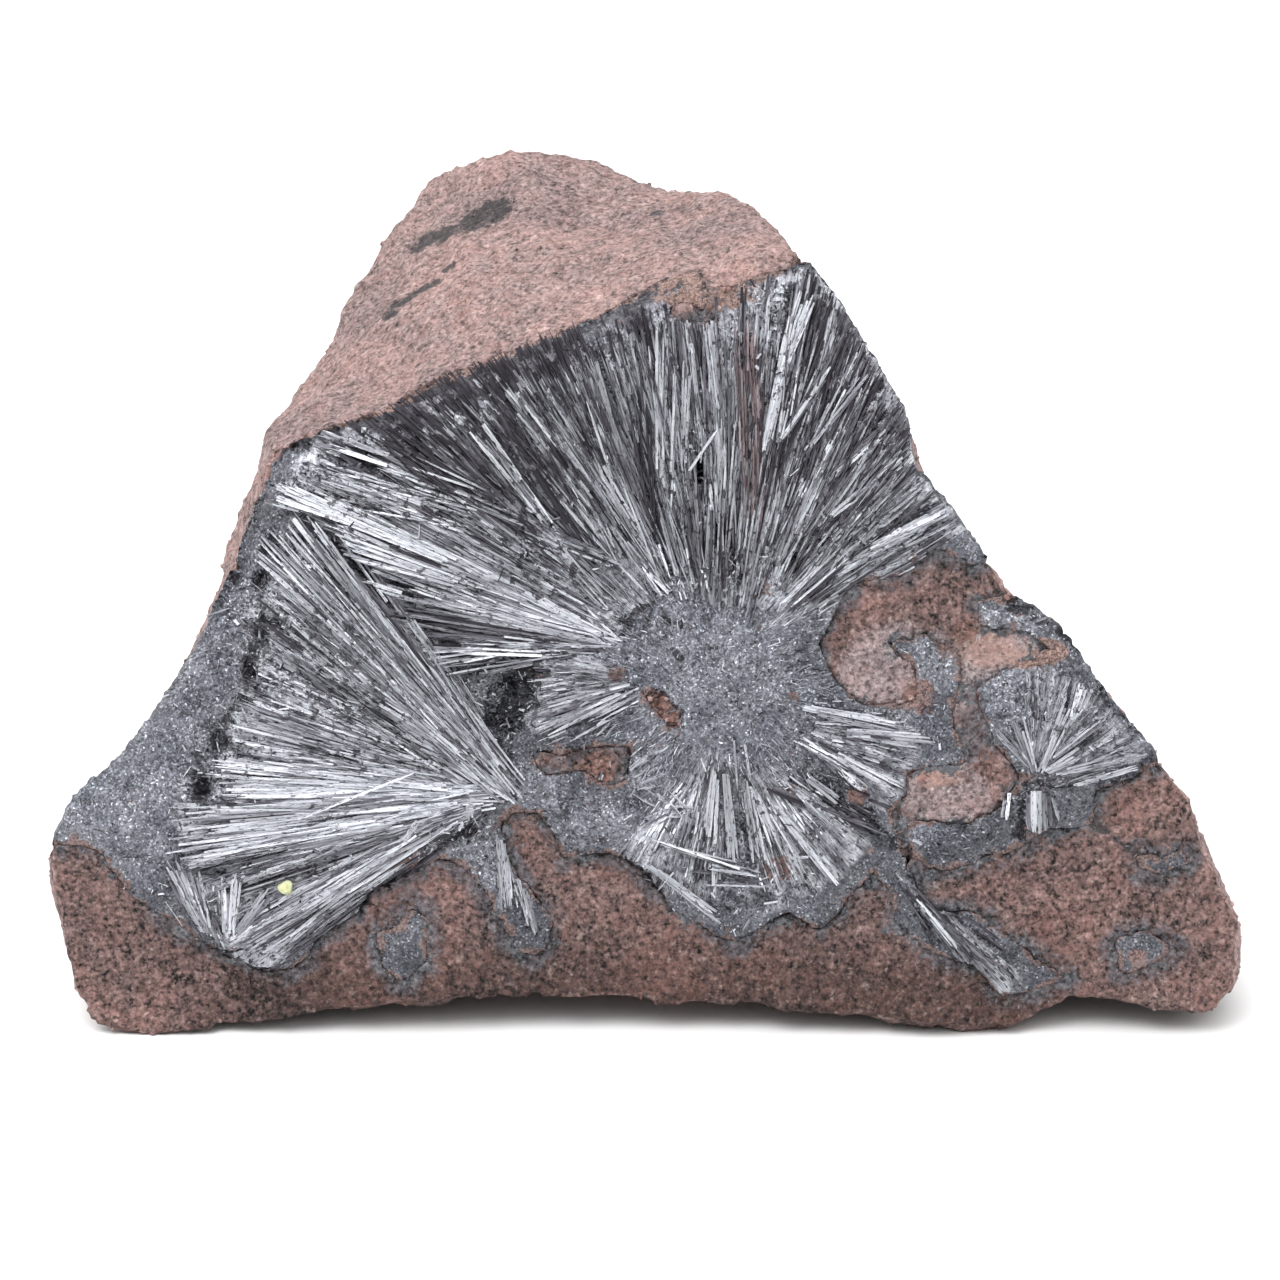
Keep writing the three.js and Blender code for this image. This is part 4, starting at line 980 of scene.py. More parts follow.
def lay(needles, ground, needle, root, tip, lift, roll, half_width, tip_share, tone, rng, flat):
    """Lays needles on the ground from root to tip in face millimetres, ended where the ore ends.

    Lift is how far the root and the tip stand off the ore, flat their height for their width.
    """
    count, steps = len(root), 8
    shares = np.linspace(0, 1, steps + 1)
    us = root[:, :1] + (tip[:, :1] - root[:, :1]) * shares
    vs = root[:, 1:] + (tip[:, 1:] - root[:, 1:]) * shares
    on_ore = ground.read(ground.ore, us, vs) > 0.5
    first = np.argmax(on_ore, axis=1)
    closed = np.hstack([on_ore, np.zeros((count, 1), bool)])
    onward = np.minimum(first[:, None] + np.arange(steps + 2), steps + 1)
    last = first + np.argmin(closed[np.arange(count)[:, None], onward], axis=1) - 1
    start, end = shares[first], shares[np.clip(last, 0, steps)]
    end = np.where(last < steps, end + rng.uniform(0, 0.06, count), end)
    long_mm = np.linalg.norm(tip - root, axis=1)
    clear = on_ore.any(axis=1) & ((end - start) * long_mm > needle.shortest)
    for u, v, radius in PITS:
        away = np.hypot(us - u, vs - v).min(axis=1)
        clear &= away > radius * rng.uniform(0.6, 1.15, count)
    heights = ground.read(ground.height, us, vs)
    step = tip - root
    a, b = root + step * start[:, None], root + step * end[:, None]
    base_a = ground.read(ground.height, a[:, 0], a[:, 1])
    base_b = ground.read(ground.height, b[:, 0], b[:, 1])
    share = np.clip((shares[None] - start[:, None]) / np.maximum(end - start, 0.01)[:, None], 0, 1)
    sunk = heights - (base_a[:, None] * (1 - share) + base_b[:, None] * share)
    inside = (shares[None] >= start[:, None]) & (shares[None] <= end[:, None]) & on_ore
    raised = np.where(inside, sunk, 0).max(axis=1) * 0.6
    keep = clear & (np.abs(base_a - base_b) < 0.6 * (end - start) * long_mm + 0.4)
    low = to_world(a[:, 0], a[:, 1], base_a + lift[0] + raised)[keep]
    high = to_world(b[:, 0], b[:, 1], base_b + lift[1] + raised)[keep]
    out = np.broadcast_to(OUT_OF_FACE, low.shape)
    leaning = (base_a - base_b) / np.maximum((end - start) * long_mm, 0.5)
    # Painted shade: darker needles where the ground falls away behind the ridge and where they lean up high
    # on the face.
    tone = tone - 0.42 * falling_shade(ground, b[:, 0], b[:, 1])
    tone = tone - 0.2 * eased(leaning, 0.04, 0.25) * (b[:, 1] > 40)
    needles.add(
        low, high, out, roll[keep], half_width[keep], half_width[keep] * flat[keep], tip_share[keep],
        np.clip(tone[keep], 0, 1),
    )


def comb(needles, ground, needle, sheet, rng):
    """One sheet of needles, broken into flat blades that step over each other under loose needles."""
    root, tip, root_width, tip_width, tone, roll, lift = sheet
    root, tip = np.array(root, float), np.array(tip, float)
    long_mm = np.linalg.norm(tip - root)
    axis = (tip - root) / long_mm
    half_0, half_1 = root_width * needle.spread / 2, tip_width * needle.spread / 2
    slabs = max(2, round((half_0 + half_1) * long_mm * needle.slabs))
    for _ in range(slabs):
        middle = rng.uniform(-1, 1)
        share = (0.06 + 0.36 * rng.beta(1, 2.6)) / (0.5 + half_1)
        first = rng.beta(0.9, 1.6) * 0.86 - 0.06
        last = min(1.0, first + rng.uniform(0.15, 0.65))
        wide = half_0 + (half_1 - half_0) * (first + last) / 2
        count = 1 + max(2, int(needle.cover * 2 * share * wide / needle.width))
        lean = math.radians(rng.normal(0, 2.0))
        heading = axis * math.cos(lean) + np.array([-axis[1], axis[0]]) * math.sin(lean)
        side = np.array([-heading[1], heading[0]])
        across = middle + rng.uniform(-share, share, count)
        ragged = rng.uniform(0.3, 1.6) / long_mm
        start = first + np.minimum(rng.exponential(ragged, count), 0.4 * (last - first))
        end = last - np.minimum(rng.exponential(ragged, count), 0.5 * (last - first))
        half = needle.width / 2 * rng.lognormal(0, 0.35, count)
        flat = np.full(count, 0.6)
        across[0], start[0], end[0] = middle, first, last - ragged
        half[0] = max(needle.width, share * wide)
        flat[0] = min(0.6, 0.05 / half[0])
        pivot = root + axis * long_mm * first + rng.normal(0, needle.jitter, 2)
        ends = []
        for at in (start, end):
            offset = across * (half_0 + (half_1 - half_0) * at) + rng.normal(0, 0.02, count)
            ends.append(pivot + heading * ((at - first) * long_mm)[:, None] + side * offset[:, None])
        broken = blob_mask(*((ends[0] + ends[1]) / 2).T, RAGGED)
        ends[1] = ends[0] + (ends[1] - ends[0]) * (1 - broken * rng.uniform(0, 0.95, count))[:, None]
        tilt = roll + rng.normal(0, 12) * (1.15 - 0.8 * tone)
        step = lift * 0.6 + rng.uniform(0, needle.depth)
        level = step + (across - middle) * wide * math.tan(math.radians(tilt)) + rng.normal(0, 0.015, count)
        dip = rng.normal(0, 0.05)
        dark = (rng.uniform(0, 1, count) < 0.12) * rng.uniform(0.2, 0.45, count)
        sharp = rng.uniform(0, 1, count) < 0.6
        splinter = np.where(sharp, rng.uniform(0.05, 0.5, count), rng.uniform(0.6, 1, count))
        buried = rng.uniform(0.1, 0.45)
        lay(
            needles, ground, needle, *ends, (level - dip - buried, level + dip),
            tilt + rng.normal(0, 6, count), half, splinter,
            tone + rng.normal(0, 0.12) + rng.normal(0, 0.07, count) - dark, rng, flat,
        )


def leaf(needles, ground, needle, sheet, rng):
    """A leaf of flat crystals side by side at one level and tilt, ragged at both ends."""
    root, tip, root_width, tip_width, tone, roll, lift = sheet
    root, tip = np.array(root, float), np.array(tip, float)
    axis = (tip - root) / np.linalg.norm(tip - root)
    side = np.array([-axis[1], axis[0]])
    count = max(3, round((root_width + tip_width) / 2 / needle.lath))
    across = (np.arange(count) + rng.uniform(0.2, 0.8, count)) / count - 0.5
    start, end = rng.beta(1, 4, count) * 0.35, 1 - rng.beta(1, 3, count) * 0.4
    ends = []
    for at in (start, end):
        offset = across * (root_width + (tip_width - root_width) * at)
        ends.append(root + (tip - root) * at[:, None] + side * offset[:, None])
    wide = root_width + (tip_width - root_width) * (start + end) / 2
    half = wide / count * rng.uniform(0.45, 0.75, count)
    level = lift + across * wide * math.tan(math.radians(roll)) + rng.normal(0, 0.03, count)
    lay(
        needles, ground, needle, *ends, (level - 0.25, level), roll + rng.normal(0, 4, count), half,
        rng.uniform(0.2, 0.9, count), tone + rng.normal(0, 0.1, count), rng, 0.05 / half,
    )


def fill_sheets(fills, rng):
    """Sheets of many widths, tones and rolls that fill a fan between its centre and its rim."""
    sheets = []
    for (u, v), low, high, near, far, tone in fills:
        angle = low
        while angle < high:
            wide = rng.uniform(1.5, 4.5)
            turn = math.radians(angle + wide / 2 + rng.normal(0, 1.0))
            r0 = near + rng.uniform(0, 0.45) * (far - near)
            r1 = min(far, r0 + rng.uniform(0.45, 1.0) * (far - near))
            across = 2 * math.tan(math.radians(wide / 2)) * 1.3
            ends = [(u + r * math.cos(turn), v + r * math.sin(turn)) for r in (r0, r1)]
            widths = max(0.4, across * r0), max(0.6, across * r1)
            sheets.append((*ends, *widths, tone + rng.normal(0, 0.16), rng.normal(0, 12), -0.1))
            angle += wide * rng.uniform(0.3, 0.6)
    return sheets


def strewn(blobs, count, reach, rng):
    """Places in ellipses, more of them in a large ellipse and in one with a high last number."""
    blobs = np.array(blobs)
    weight = blobs[:, 2:].prod(axis=1)
    blobs = blobs[rng.choice(len(blobs), count, p=weight / weight.sum())]
    turn, far = rng.uniform(0, 2 * math.pi, count), np.sqrt(rng.uniform(0, 1, count)) * reach
    return blobs[:, 0] + blobs[:, 2] * far * np.cos(turn), blobs[:, 1] + blobs[:, 3] * far * np.sin(turn)


def from_heading(u, v, long_mm, heading, low, high):
    """Both ends of short needles in metres, from their roots, headings and heights out of the face."""
    return to_world(u, v, low), to_world(u + long_mm * np.cos(heading), v + long_mm * np.sin(heading), high)


# ---------------------------------------------------------------- settings


def colour(name, about, value):
    return FloatVectorProperty(
        name=name, description=about, default=value, subtype="COLOR", size=3, min=0, max=1
    )


def distance(name, about, value):
    return FloatProperty(
        name=name, description=about, default=value, subtype="DISTANCE", unit="LENGTH", min=0
    )


def number(name, about, value, least=0.0):
    return FloatProperty(name=name, description=about, default=value, min=least)


def tally(name, about, value):
    return IntProperty(name=name, description=about, default=value)


class SandstoneSettings(bpy.types.PropertyGroup):
    voxel: distance("Skin mesh", "Size of the skin's faces", 0.00047)
    lumps: distance("Lumps", "Height of the broken surface's lumps", 0.001)
    pitting: distance("Pitting", "Height of the fine pitting", 0.00055)
    grains: tally("Grains", "Number of loose sand grains on the skin", 5500)
    strays: tally("Stray grains", "Number of sand grains on the ore", 900)
    grain: distance("Grain", "Half width of a loose grain", 0.00016)
    bank: distance("Bank", "How high the stone is banked against the ore", 0.0008)
    weathered_colour: colour("Weathered", "Old outer surfaces", (0.333, 0.243, 0.234))
    fresh_colour: colour("Fresh", "The broken face", (0.188, 0.122, 0.113))
    open_colour: colour("Open", "Stone left open on the right of the face", (0.305, 0.253, 0.262))
    # Low: darker towards the foot of the broken face, and painted shade on undersides near the floor.
    foot_and_shade_colour: colour("Low", "The foot of the broken face", (0.07, 0.04, 0.034))
    orange_colour: colour("Orange", "Rusty patches on the right", (0.43, 0.285, 0.248))
    red_colour: colour("Red", "Iron-rich spots", (0.2, 0.11, 0.09))
    pale_colour: colour("Pale grain", "Pale grains", (0.48, 0.41, 0.38))
    dark_colour: colour("Dark grain", "Dark grains", (0.05, 0.04, 0.04))
    crept_colour: colour("Ore border", "Ore grown into the stone's edge", (0.125, 0.128, 0.142))
    soot_colour: colour("Ore dust", "Stone soaked with ore", (0.1, 0.103, 0.12))


class OreSettings(bpy.types.PropertyGroup):
    voxel: distance("Skin mesh", "Size of the skin's faces", 0.00036)
    lift: distance("Lift", "How far the skin is pushed out, to close the gap in the stone", 0.0002)
    # The needles' tone runs gap, violet, steel, silver: its dark stops carry painted shade, its bright ones
    # painted reflection.
    gap_colour: colour("Gap", "Between needles", (0.05, 0.046, 0.055))
    dark_colour: colour("Dark", "Dark facets", (0.13, 0.13, 0.145))
    grain_colour: colour("Grain", "Bright facets of granular ore", (0.34, 0.35, 0.395))
    violet_colour: colour("Violet", "Dark needles", (0.18, 0.173, 0.2))
    steel_colour: colour("Steel", "Common needles", (0.53, 0.545, 0.59))
    silver_colour: colour("Silver", "Bright needles", (0.80, 0.82, 0.87))
    stain_colour: colour("Stain", "Stone stain on ore", (0.165, 0.105, 0.095))


class NeedleSettings(bpy.types.PropertyGroup):
    width: number("Width", "Width of a needle in millimetres", 0.085, 0.02)
    cover: number("Cover", "How many needles lie over each other", 0.7, 0.2)
    spread: number("Spread", "How much sheets overlap sideways", 1.25, 0.5)
    lath: number("Lath", "Width of a leaf's crystals in millimetres", 0.2, 0.05)
    slabs: number("Slabs", "Blades in a square millimetre of a sheet", 0.95, 0.05)
    jitter: number("Jitter", "How far blades stray in millimetres", 0.28)
    depth: number("Depth", "Height of a sheet's steps in millimetres", 0.35)
    shortest: number("Shortest", "Shortest needle in millimetres", 0.5, 0.1)
    crumbs: tally("Crumbs", "Number of crystal crumbs between the sheets", 3600)
    strays: tally("Stray crumbs", "Number of crystal crumbs on the stone", 1300)
    felt: tally("Felt", "Number of short needles on granular ore", 8000)


class StageSettings(bpy.types.PropertyGroup):
    floor: distance("Floor", "Radius of the floor", 4.0)
    above: number("Light above", "Brightness of the light from above", 1.7)
    beside: number("Light beside", "Brightness of the light from the sides", 0.5)
    front: number("Light in front", "Brightness of the room in front", 0.26)
    backdrop: number("Backdrop", "Brightness of what is seen behind the floor", 1.2)
    lamp: FloatProperty(name="Lamp", description="Power of the large lamp", default=1.2, unit="POWER")
    lamp_size: distance("Lamp size", "Width of the large lamp", 0.35)


# ---------------------------------------------------------------- operators

made = {}


class PYROLUSITE_OT_sandstone(bpy.types.Operator):
    """Gives the sandstone its granular skin, weathering and ore-soaked edges"""
    bl_idname = "pyrolusite.sandstone"
    bl_label = "Sandstone"

    def execute(self, context):
        stone = context.scene.sandstone
        mesh = skin(STONE_NODE, "sandstone_block", stone.voxel, [
            ("CLOUDS", 0.0035, stone.lumps, 0.5), ("CLOUDS", 0.0009, stone.pitting, 0.48),
        ])
        points = points_of(mesh)
        points[:, 2] = np.maximum(points[:, 2], FLOOR_GAP)
        set_points(mesh, points)
        ore = tree_of([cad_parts[n].data for n in ORE_NODES])
        points = banked(points, ore, stone.bank)
        u, v, out = to_face(points)
        for *blob, rise, level in PLUGS:
            raised = blob_mask(u, v, [blob]) * eased(out, -4, -2) * np.clip(level - out, 0, rise) * MM
            points += raised[:, None] * OUT_OF_FACE
        set_points(mesh, points)
        normals = normals_of(mesh)
        facing = normals @ OUT_OF_FACE
        fresh = eased(out, -4.5, -2.0) * eased(facing, 0.3, 0.7) * (1 - eased(v - 54.5 - 0.4 * u, -1.5, 0))
        # Painted shade: surfaces facing down near the floor take the darker fresh colour and the low one.
        underside_shade = eased(-normals[:, 2], 0.3, 0.8) * (1 - eased(points[:, 2], 0.003, 0.007))
        fresh = np.maximum(fresh, underside_shade)
        on_face = eased(out, -6, -3) * eased(facing, 0.2, 0.6)
        on_top = eased(normals[:, 2], 0.2, 0.5) * (1 - on_face)
        foot = (1 - eased(v, 3, 11)) * (1 - eased(np.abs(u), 26, 38)) * fresh
        paint(
            mesh,
            weathered=1 - fresh,
            near_ore=nearness(ore, points, STONE_STAIN_REACH),
            pale=blob_mask(u, v, PALE_STONE) * fresh,
            orange=blob_mask(u, v, ORANGE_STONE) * fresh,
            # low: darker towards the foot of the face, and painted shade under the stone.
            low=np.maximum(foot, underside_shade),
            dark=np.maximum(line_mask(u, v, DARK_MARKS) * on_top, line_mask(u, v, VEINS) * on_face),
            red=spot_mask(u, v, RED_SPOTS) * on_face,
        )
        new_piece("sandstone_block", mesh, sandstone_material(stone), [STONE_NODE])
        made["stone"] = mesh
        return {"FINISHED"}


class PYROLUSITE_OT_ore(bpy.types.Operator):
    """Gives the ore solids their granular skin, closed against the stone"""
    bl_idname = "pyrolusite.ore"
    bl_label = "Granular ore"

    def execute(self, context):
        ore = context.scene.ore
        material = ore_material(ore)
        bare_stone = tree_of([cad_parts[STONE_NODE].data])
        made["ore"], made["sandy"] = [], []
        rng = np.random.default_rng(5)
        for node in ORE_NODES:
            name = node.replace("pyrolusite", "ore")
            mesh = skin(node, name, ore.voxel, [
                ("CLOUDS", 0.0012, 0.0004, 0.5), ("VORONOI", 0.0005, 0.0003, 0.4),
            ])
            points = points_of(mesh) + normals_of(mesh) * ore.lift
            points[:, 2] = np.maximum(points[:, 2], FLOOR_GAP)
            set_points(mesh, points)
            normals = normals_of(mesh)
            u, v, out = to_face(points)
            up = eased(normals[:, 2], 0.5, 0.85) * (v > 30)
            fibrous, along, across = fan_places(u, v)
            stony = np.max([blob_mask(u, v, [blob[:4]]) * blob[4] for blob in STONY], axis=0)
            stony = np.maximum(stony, 0.72 * up * eased(-out, 0.2, 1.0))
            edge = nearness(bare_stone, points, ORE_STAIN_REACH)
            paint(
                mesh,
                granular=(0.45 + 0.55 * blob_mask(u, v, GRANULAR)) * (1 - 0.8 * up),
                fibrous=fibrous * eased(normals @ OUT_OF_FACE, 0.1, 0.5) * (1 - up),
                ridge=ridge_shade_share(u, v),
                along=along,
                across=across,
                pit=np.maximum(line_mask(u, v, SHADED_HOLLOWS) * 0.85, blob_mask(u, v, RAGGED) * 0.26),
                stony=stony,
                red=np.maximum(edge * 0.4, spot_mask(u, v, RED_SPOTS)),
                edge=edge,
            )
            sandy = (np.maximum(edge - 0.3, stony) > rng.uniform(0.2, 0.8, len(points))) & (out > -4)
            made["sandy"].append(np.hstack([points, normals, stony[:, None]])[sandy])
            new_piece(name, mesh, material, [node])
            made["ore"].append(mesh)
        for _ in range(2):
            rough = Ground(tree_of(made["ore"]), tree_of([made["stone"]]))
            for mesh in (made["stone"], *made["ore"]):
                levelled(mesh, rough)
        ground = Ground(tree_of(made["ore"]), tree_of([made["stone"]]))
        us, vs = np.meshgrid(ground.us, ground.vs)
        ground.ore *= 1 - blob_mask(us, vs, [blob[:4] for blob in STONY if blob[4] == 1])
        made["ground"] = ground
        return {"FINISHED"}


class PYROLUSITE_OT_needles(bpy.types.Operator):
    """Lays the needle fans on the ore, sheet by sheet"""
    bl_idname = "pyrolusite.needles"
    bl_label = "Needle fans"

    def execute(self, context):
        ground, needle = made["ground"], context.scene.needles
        plain = needle_material(context.scene.ore)
        stained = needle_material(context.scene.ore, stained=True)
        shape = needle_shape(4)
        fans = [
            ("left_fan", LEFT_SHEETS, LEFT_FILL, plain),
            ("upper_left_fan", UPPER_LEFT_SHEETS, UPPER_LEFT_FILL, plain),
            ("top_fan", TOP_SHEETS, TOP_FILL, plain),
            ("stained_bundle", STAINED_SHEETS, [], stained),
            ("lower_fans", LOWER_SHEETS, LOWER_FILL, plain),
            ("corner_spray", SPRAY_SHEETS, SPRAY_FILL, plain),
        ]
        for number, (name, sheets, fills, material) in enumerate(fans):
            rng = np.random.default_rng(number)
            needles = Needles(shape)
            for sheet in fill_sheets(fills, rng) + sheets:
                comb(needles, ground, needle, sheet, rng)
            for sheet in LEAVES.get(name, []):
                leaf(needles, ground, needle, sheet, rng)
            new_piece(name, needles.mesh(name, rng), material)
        rng = np.random.default_rng(99)
        needles, one = Needles(shape), np.ones(1)
        for root, tip, tone, half, roll, *lifts in LONE_NEEDLES:
            ends = []
            for place, lift in zip((root, tip), lifts):
                u, v = np.array(place, float)[:, None]
                ends.append(to_world(u, v, ground.read(ground.height, u, v) + lift))
            flat = min(half, 0.1)
            needles.add(*ends, OUT_OF_FACE[None], *(one * x for x in (roll, half, flat, 0.4, tone)))
        new_piece("lone_needles", needles.mesh("lone_needles", rng), plain)
        return {"FINISHED"}


class PYROLUSITE_OT_felt(bpy.types.Operator):
    """Scatters the short jumbled needles of the granular ore"""
    bl_idname = "pyrolusite.felt"
    bl_label = "Needle felt"

    def execute(self, context):
        ground, needle = made["ground"], context.scene.needles
        rng = np.random.default_rng(7)
        needles = Needles(needle_shape(3, ring=False))
        u, v = strewn(GRANULAR, needle.felt * 2, 1.1, rng)
        keep = ground.read(ground.inner, u, v) > 0.6
        u, v = u[keep][: needle.felt], v[keep][: needle.felt]
        count = len(u)
        height = ground.read(ground.height, u, v)
        long_mm = rng.lognormal(-1.2, 0.4, count)
        heading, rise = rng.uniform(0, 2 * math.pi, count), rng.uniform(-0.1, 0.4, count)
        away = np.hypot(u - CENTRE[0], v - CENTRE[1])
        tufted = (away > 4.5) & (away < 12) & (rng.uniform(0, 1, count) < 0.75)
        outward = np.arctan2(v - CENTRE[1], u - CENTRE[0]) + rng.normal(0, 0.25, count)
        heading = np.where(tufted, outward, heading)
        long_mm *= np.where(tufted, 1.9, 1.0)
        low, high = from_heading(u, v, long_mm, heading, height - 0.03, height + long_mm * rise)
        out = np.broadcast_to(OUT_OF_FACE, low.shape)
        half = rng.lognormal(math.log(0.042), 0.35, count)
        cloudy = np.array([noise.noise(Vector((a * 0.5, b * 0.5, 3.0))) for a, b in zip(u, v)])
        # Painted glints: a few needles are made near silver.
        glint = 0.5 * (rng.uniform(0, 1, count) < 0.06)
        # Painted shade where the ground falls away behind the ridge.
        tone = rng.normal(0.33, 0.23, count) - 0.2 * falling_shade(ground, u, v) + 0.1 * tufted
        tone = tone + 0.4 * cloudy + glint
        needles.add(
            low, high, out, rng.uniform(-40, 40, count), half, half * 0.8, rng.uniform(0.1, 0.8, count),
            np.clip(tone, 0, 1),
        )
        mesh = needles.mesh("needle_felt", rng)
        new_piece("needle_felt", mesh, bpy.data.materials["needle"])
        return {"FINISHED"}


class PYROLUSITE_OT_crumbs(bpy.types.Operator):
    """Drops broken crystal crumbs between the needle sheets, thickest where they are jumbled"""
    bl_idname = "pyrolusite.crumbs"
    bl_label = "Crystal crumbs"

    def execute(self, context):
        ground, needle = made["ground"], context.scene.needles
        rng = np.random.default_rng(17)
        needles = Needles(needle_shape(4, ring=False))
        u, v = strewn(JUMBLED + [(*blob, 1.6) for blob in RAGGED], needle.crumbs * 2, 1.0, rng)
        keep = (ground.read(ground.inner, u, v) > 0.6) & (v < RIDGE_HEIGHT + RIDGE_CLIMB * u - 0.5)
        near_ore = painted(made["stone"], "near_ore")
        far_u, far_v, far_out = to_face(points_of(made["stone"]))
        below_ridge = far_v < RIDGE_HEIGHT + RIDGE_CLIMB * far_u - 1.5
        beside = np.flatnonzero((far_out > -4) & (near_ore > 0.3) & below_ridge)
        beside = rng.choice(beside, needle.strays, p=near_ore[beside] ** 2 / (near_ore[beside] ** 2).sum())
        u = np.concatenate([u[keep][: needle.crumbs], far_u[beside]])
        v = np.concatenate([v[keep][: needle.crumbs], far_v[beside]])
        count = len(u)
        between = count - needle.strays
        height = ground.read(ground.height, u, v) + rng.uniform(-0.05, 0.25, count)
        height[between:] = far_out[beside]
        long_mm = rng.lognormal(math.log(0.36), 0.5, count)
        heading, rise = rng.uniform(0, 2 * math.pi, count), rng.normal(0, 0.35, count)
        low, high = from_heading(u, v, long_mm, heading, height, height + long_mm * rise)
        out = np.broadcast_to(OUT_OF_FACE, low.shape)
        half = np.minimum(rng.lognormal(math.log(0.075), 0.4, count), 0.4 * long_mm)
        # Painted shade where the ground falls away behind the ridge.
        tone = rng.normal(0.46, 0.27, count) - 0.25 * falling_shade(ground, u, v)
        tone[between:] = np.minimum(tone[between:], rng.uniform(0.3, 0.7, count - between))
        needles.add(
            low, high, out, rng.normal(0, 35, count), half, half * 0.5, rng.uniform(0.3, 1.0, count),
            np.clip(tone, 0, 1),
        )
        mesh = needles.mesh("crystal_crumbs", rng)
        new_piece("crystal_crumbs", mesh, bpy.data.materials["needle"])
        return {"FINISHED"}


class PYROLUSITE_OT_grains(bpy.types.Operator):
    """Scatters sand grains over the stone's skin"""
    bl_idname = "pyrolusite.grains"
    bl_label = "Sand grains"

    def execute(self, context):
        stone = context.scene.sandstone
        rng = np.random.default_rng(11)
        mesh = made["stone"]
        points, normals = points_of(mesh), normals_of(mesh)
        names = ("weathered", "near_ore", "dark", "red", "pale", "orange", "low")
        pick = rng.choice(len(points), stone.grains)
        values = np.stack([painted(mesh, name) for name in names], axis=1)
        sandy = np.vstack(made["sandy"])
        sandy = sandy[rng.choice(len(sandy), stone.strays)]
        stray_values = np.zeros((stone.strays, len(names)))
        for name, value in (("red", 0.3), ("pale", 0.5), ("orange", sandy[:, 6] * 0.8)):
            stray_values[:, names.index(name)] = value
        points = np.vstack([points[pick], sandy[:, :3]])
        normals = np.vstack([normals[pick], sandy[:, 3:6]])
        values = np.vstack([values[pick], stray_values])
        bm = bmesh.new()
        bmesh.ops.create_icosphere(bm, subdivisions=1, radius=1)
        shape, faces = arrays_of(bm)
        count, corners = len(points), len(shape)
        size = stone.grain * rng.lognormal(0, 0.3, (count, 1, 1)) * rng.uniform(0.75, 1.25, (count, 1, 3))
        lumps = shape[None] * rng.uniform(0.8, 1.15, (count, corners, 1)) * size
        turn = np.linalg.qr(rng.normal(size=(count, 3, 3)))[0]
        turn *= np.sign(np.linalg.det(turn))[:, None, None]
        grains = np.einsum("nij,nkj->nki", turn, lumps) + (points - normals * stone.grain * 0.35)[:, None]
        grains[..., 2] = np.maximum(grains[..., 2], FLOOR_GAP)
        mesh, _ = joined("sand_grains", grains, faces)
        columns = dict(zip(names, values.T), chance=rng.uniform(0, 1, count))
        paint(mesh, **{name: np.repeat(column, corners) for name, column in columns.items()})
        new_piece("sand_grains", mesh, sandstone_material(stone, loose=True))
        return {"FINISHED"}


class PYROLUSITE_OT_yellow_grain(bpy.types.Operator):
    """Sets the one yellow grain on the needles"""
    bl_idname = "pyrolusite.yellow_grain"
    bl_label = "Yellow grain"

    def execute(self, context):
        ground = made["ground"]
        u, v = YELLOW_GRAIN
        height = float(ground.read(ground.height, np.array([u]), np.array([v]))[0]) + 0.55
        middle = Vector(to_world(u, v, height))
        radius, cut_at = 0.0006, 0.00042
        bm = bmesh.new()
        bmesh.ops.create_icosphere(bm, subdivisions=3, radius=radius)
        bmesh.ops.scale(bm, verts=bm.verts, vec=(1.05, 0.85, 0.95))
        rng = np.random.default_rng(3)
        for corner in bm.verts:
            corner.co += corner.normal * float(rng.normal(0, 0.000018))
        for _ in range(7):
            facing = Vector(rng.normal(size=3)).normalized()
            whole = bm.verts[:] + bm.edges[:] + bm.faces[:]
            cut = bmesh.ops.bisect_plane(
                bm, geom=whole, plane_co=facing * cut_at, plane_no=facing, clear_outer=True
            )
            rim = [e for e in cut["geom_cut"] if isinstance(e, bmesh.types.BMEdge)]
            bmesh.ops.edgenet_fill(bm, edges=rim)
        bmesh.ops.recalc_face_normals(bm, faces=bm.faces)
        bmesh.ops.translate(bm, verts=bm.verts, vec=middle)
        mesh = bpy.data.meshes.new("yellow_grain")
        bm.to_mesh(mesh)
        bm.free()
        material, s = new_material("yellow_grain")
        where = s.place()
        tint = s.mix(s.noise(where, 3000, 3).above(0.35, 0.7), (0.6, 0.62, 0.3), (0.74, 0.76, 0.53))
        s.surface(Base_Color=tint, Roughness=0.55, Normal=s.bump(s.noise(where, 6000, 3), 0.4, 0.0001))
        new_piece("yellow_grain", mesh, material)
        return {"FINISHED"}


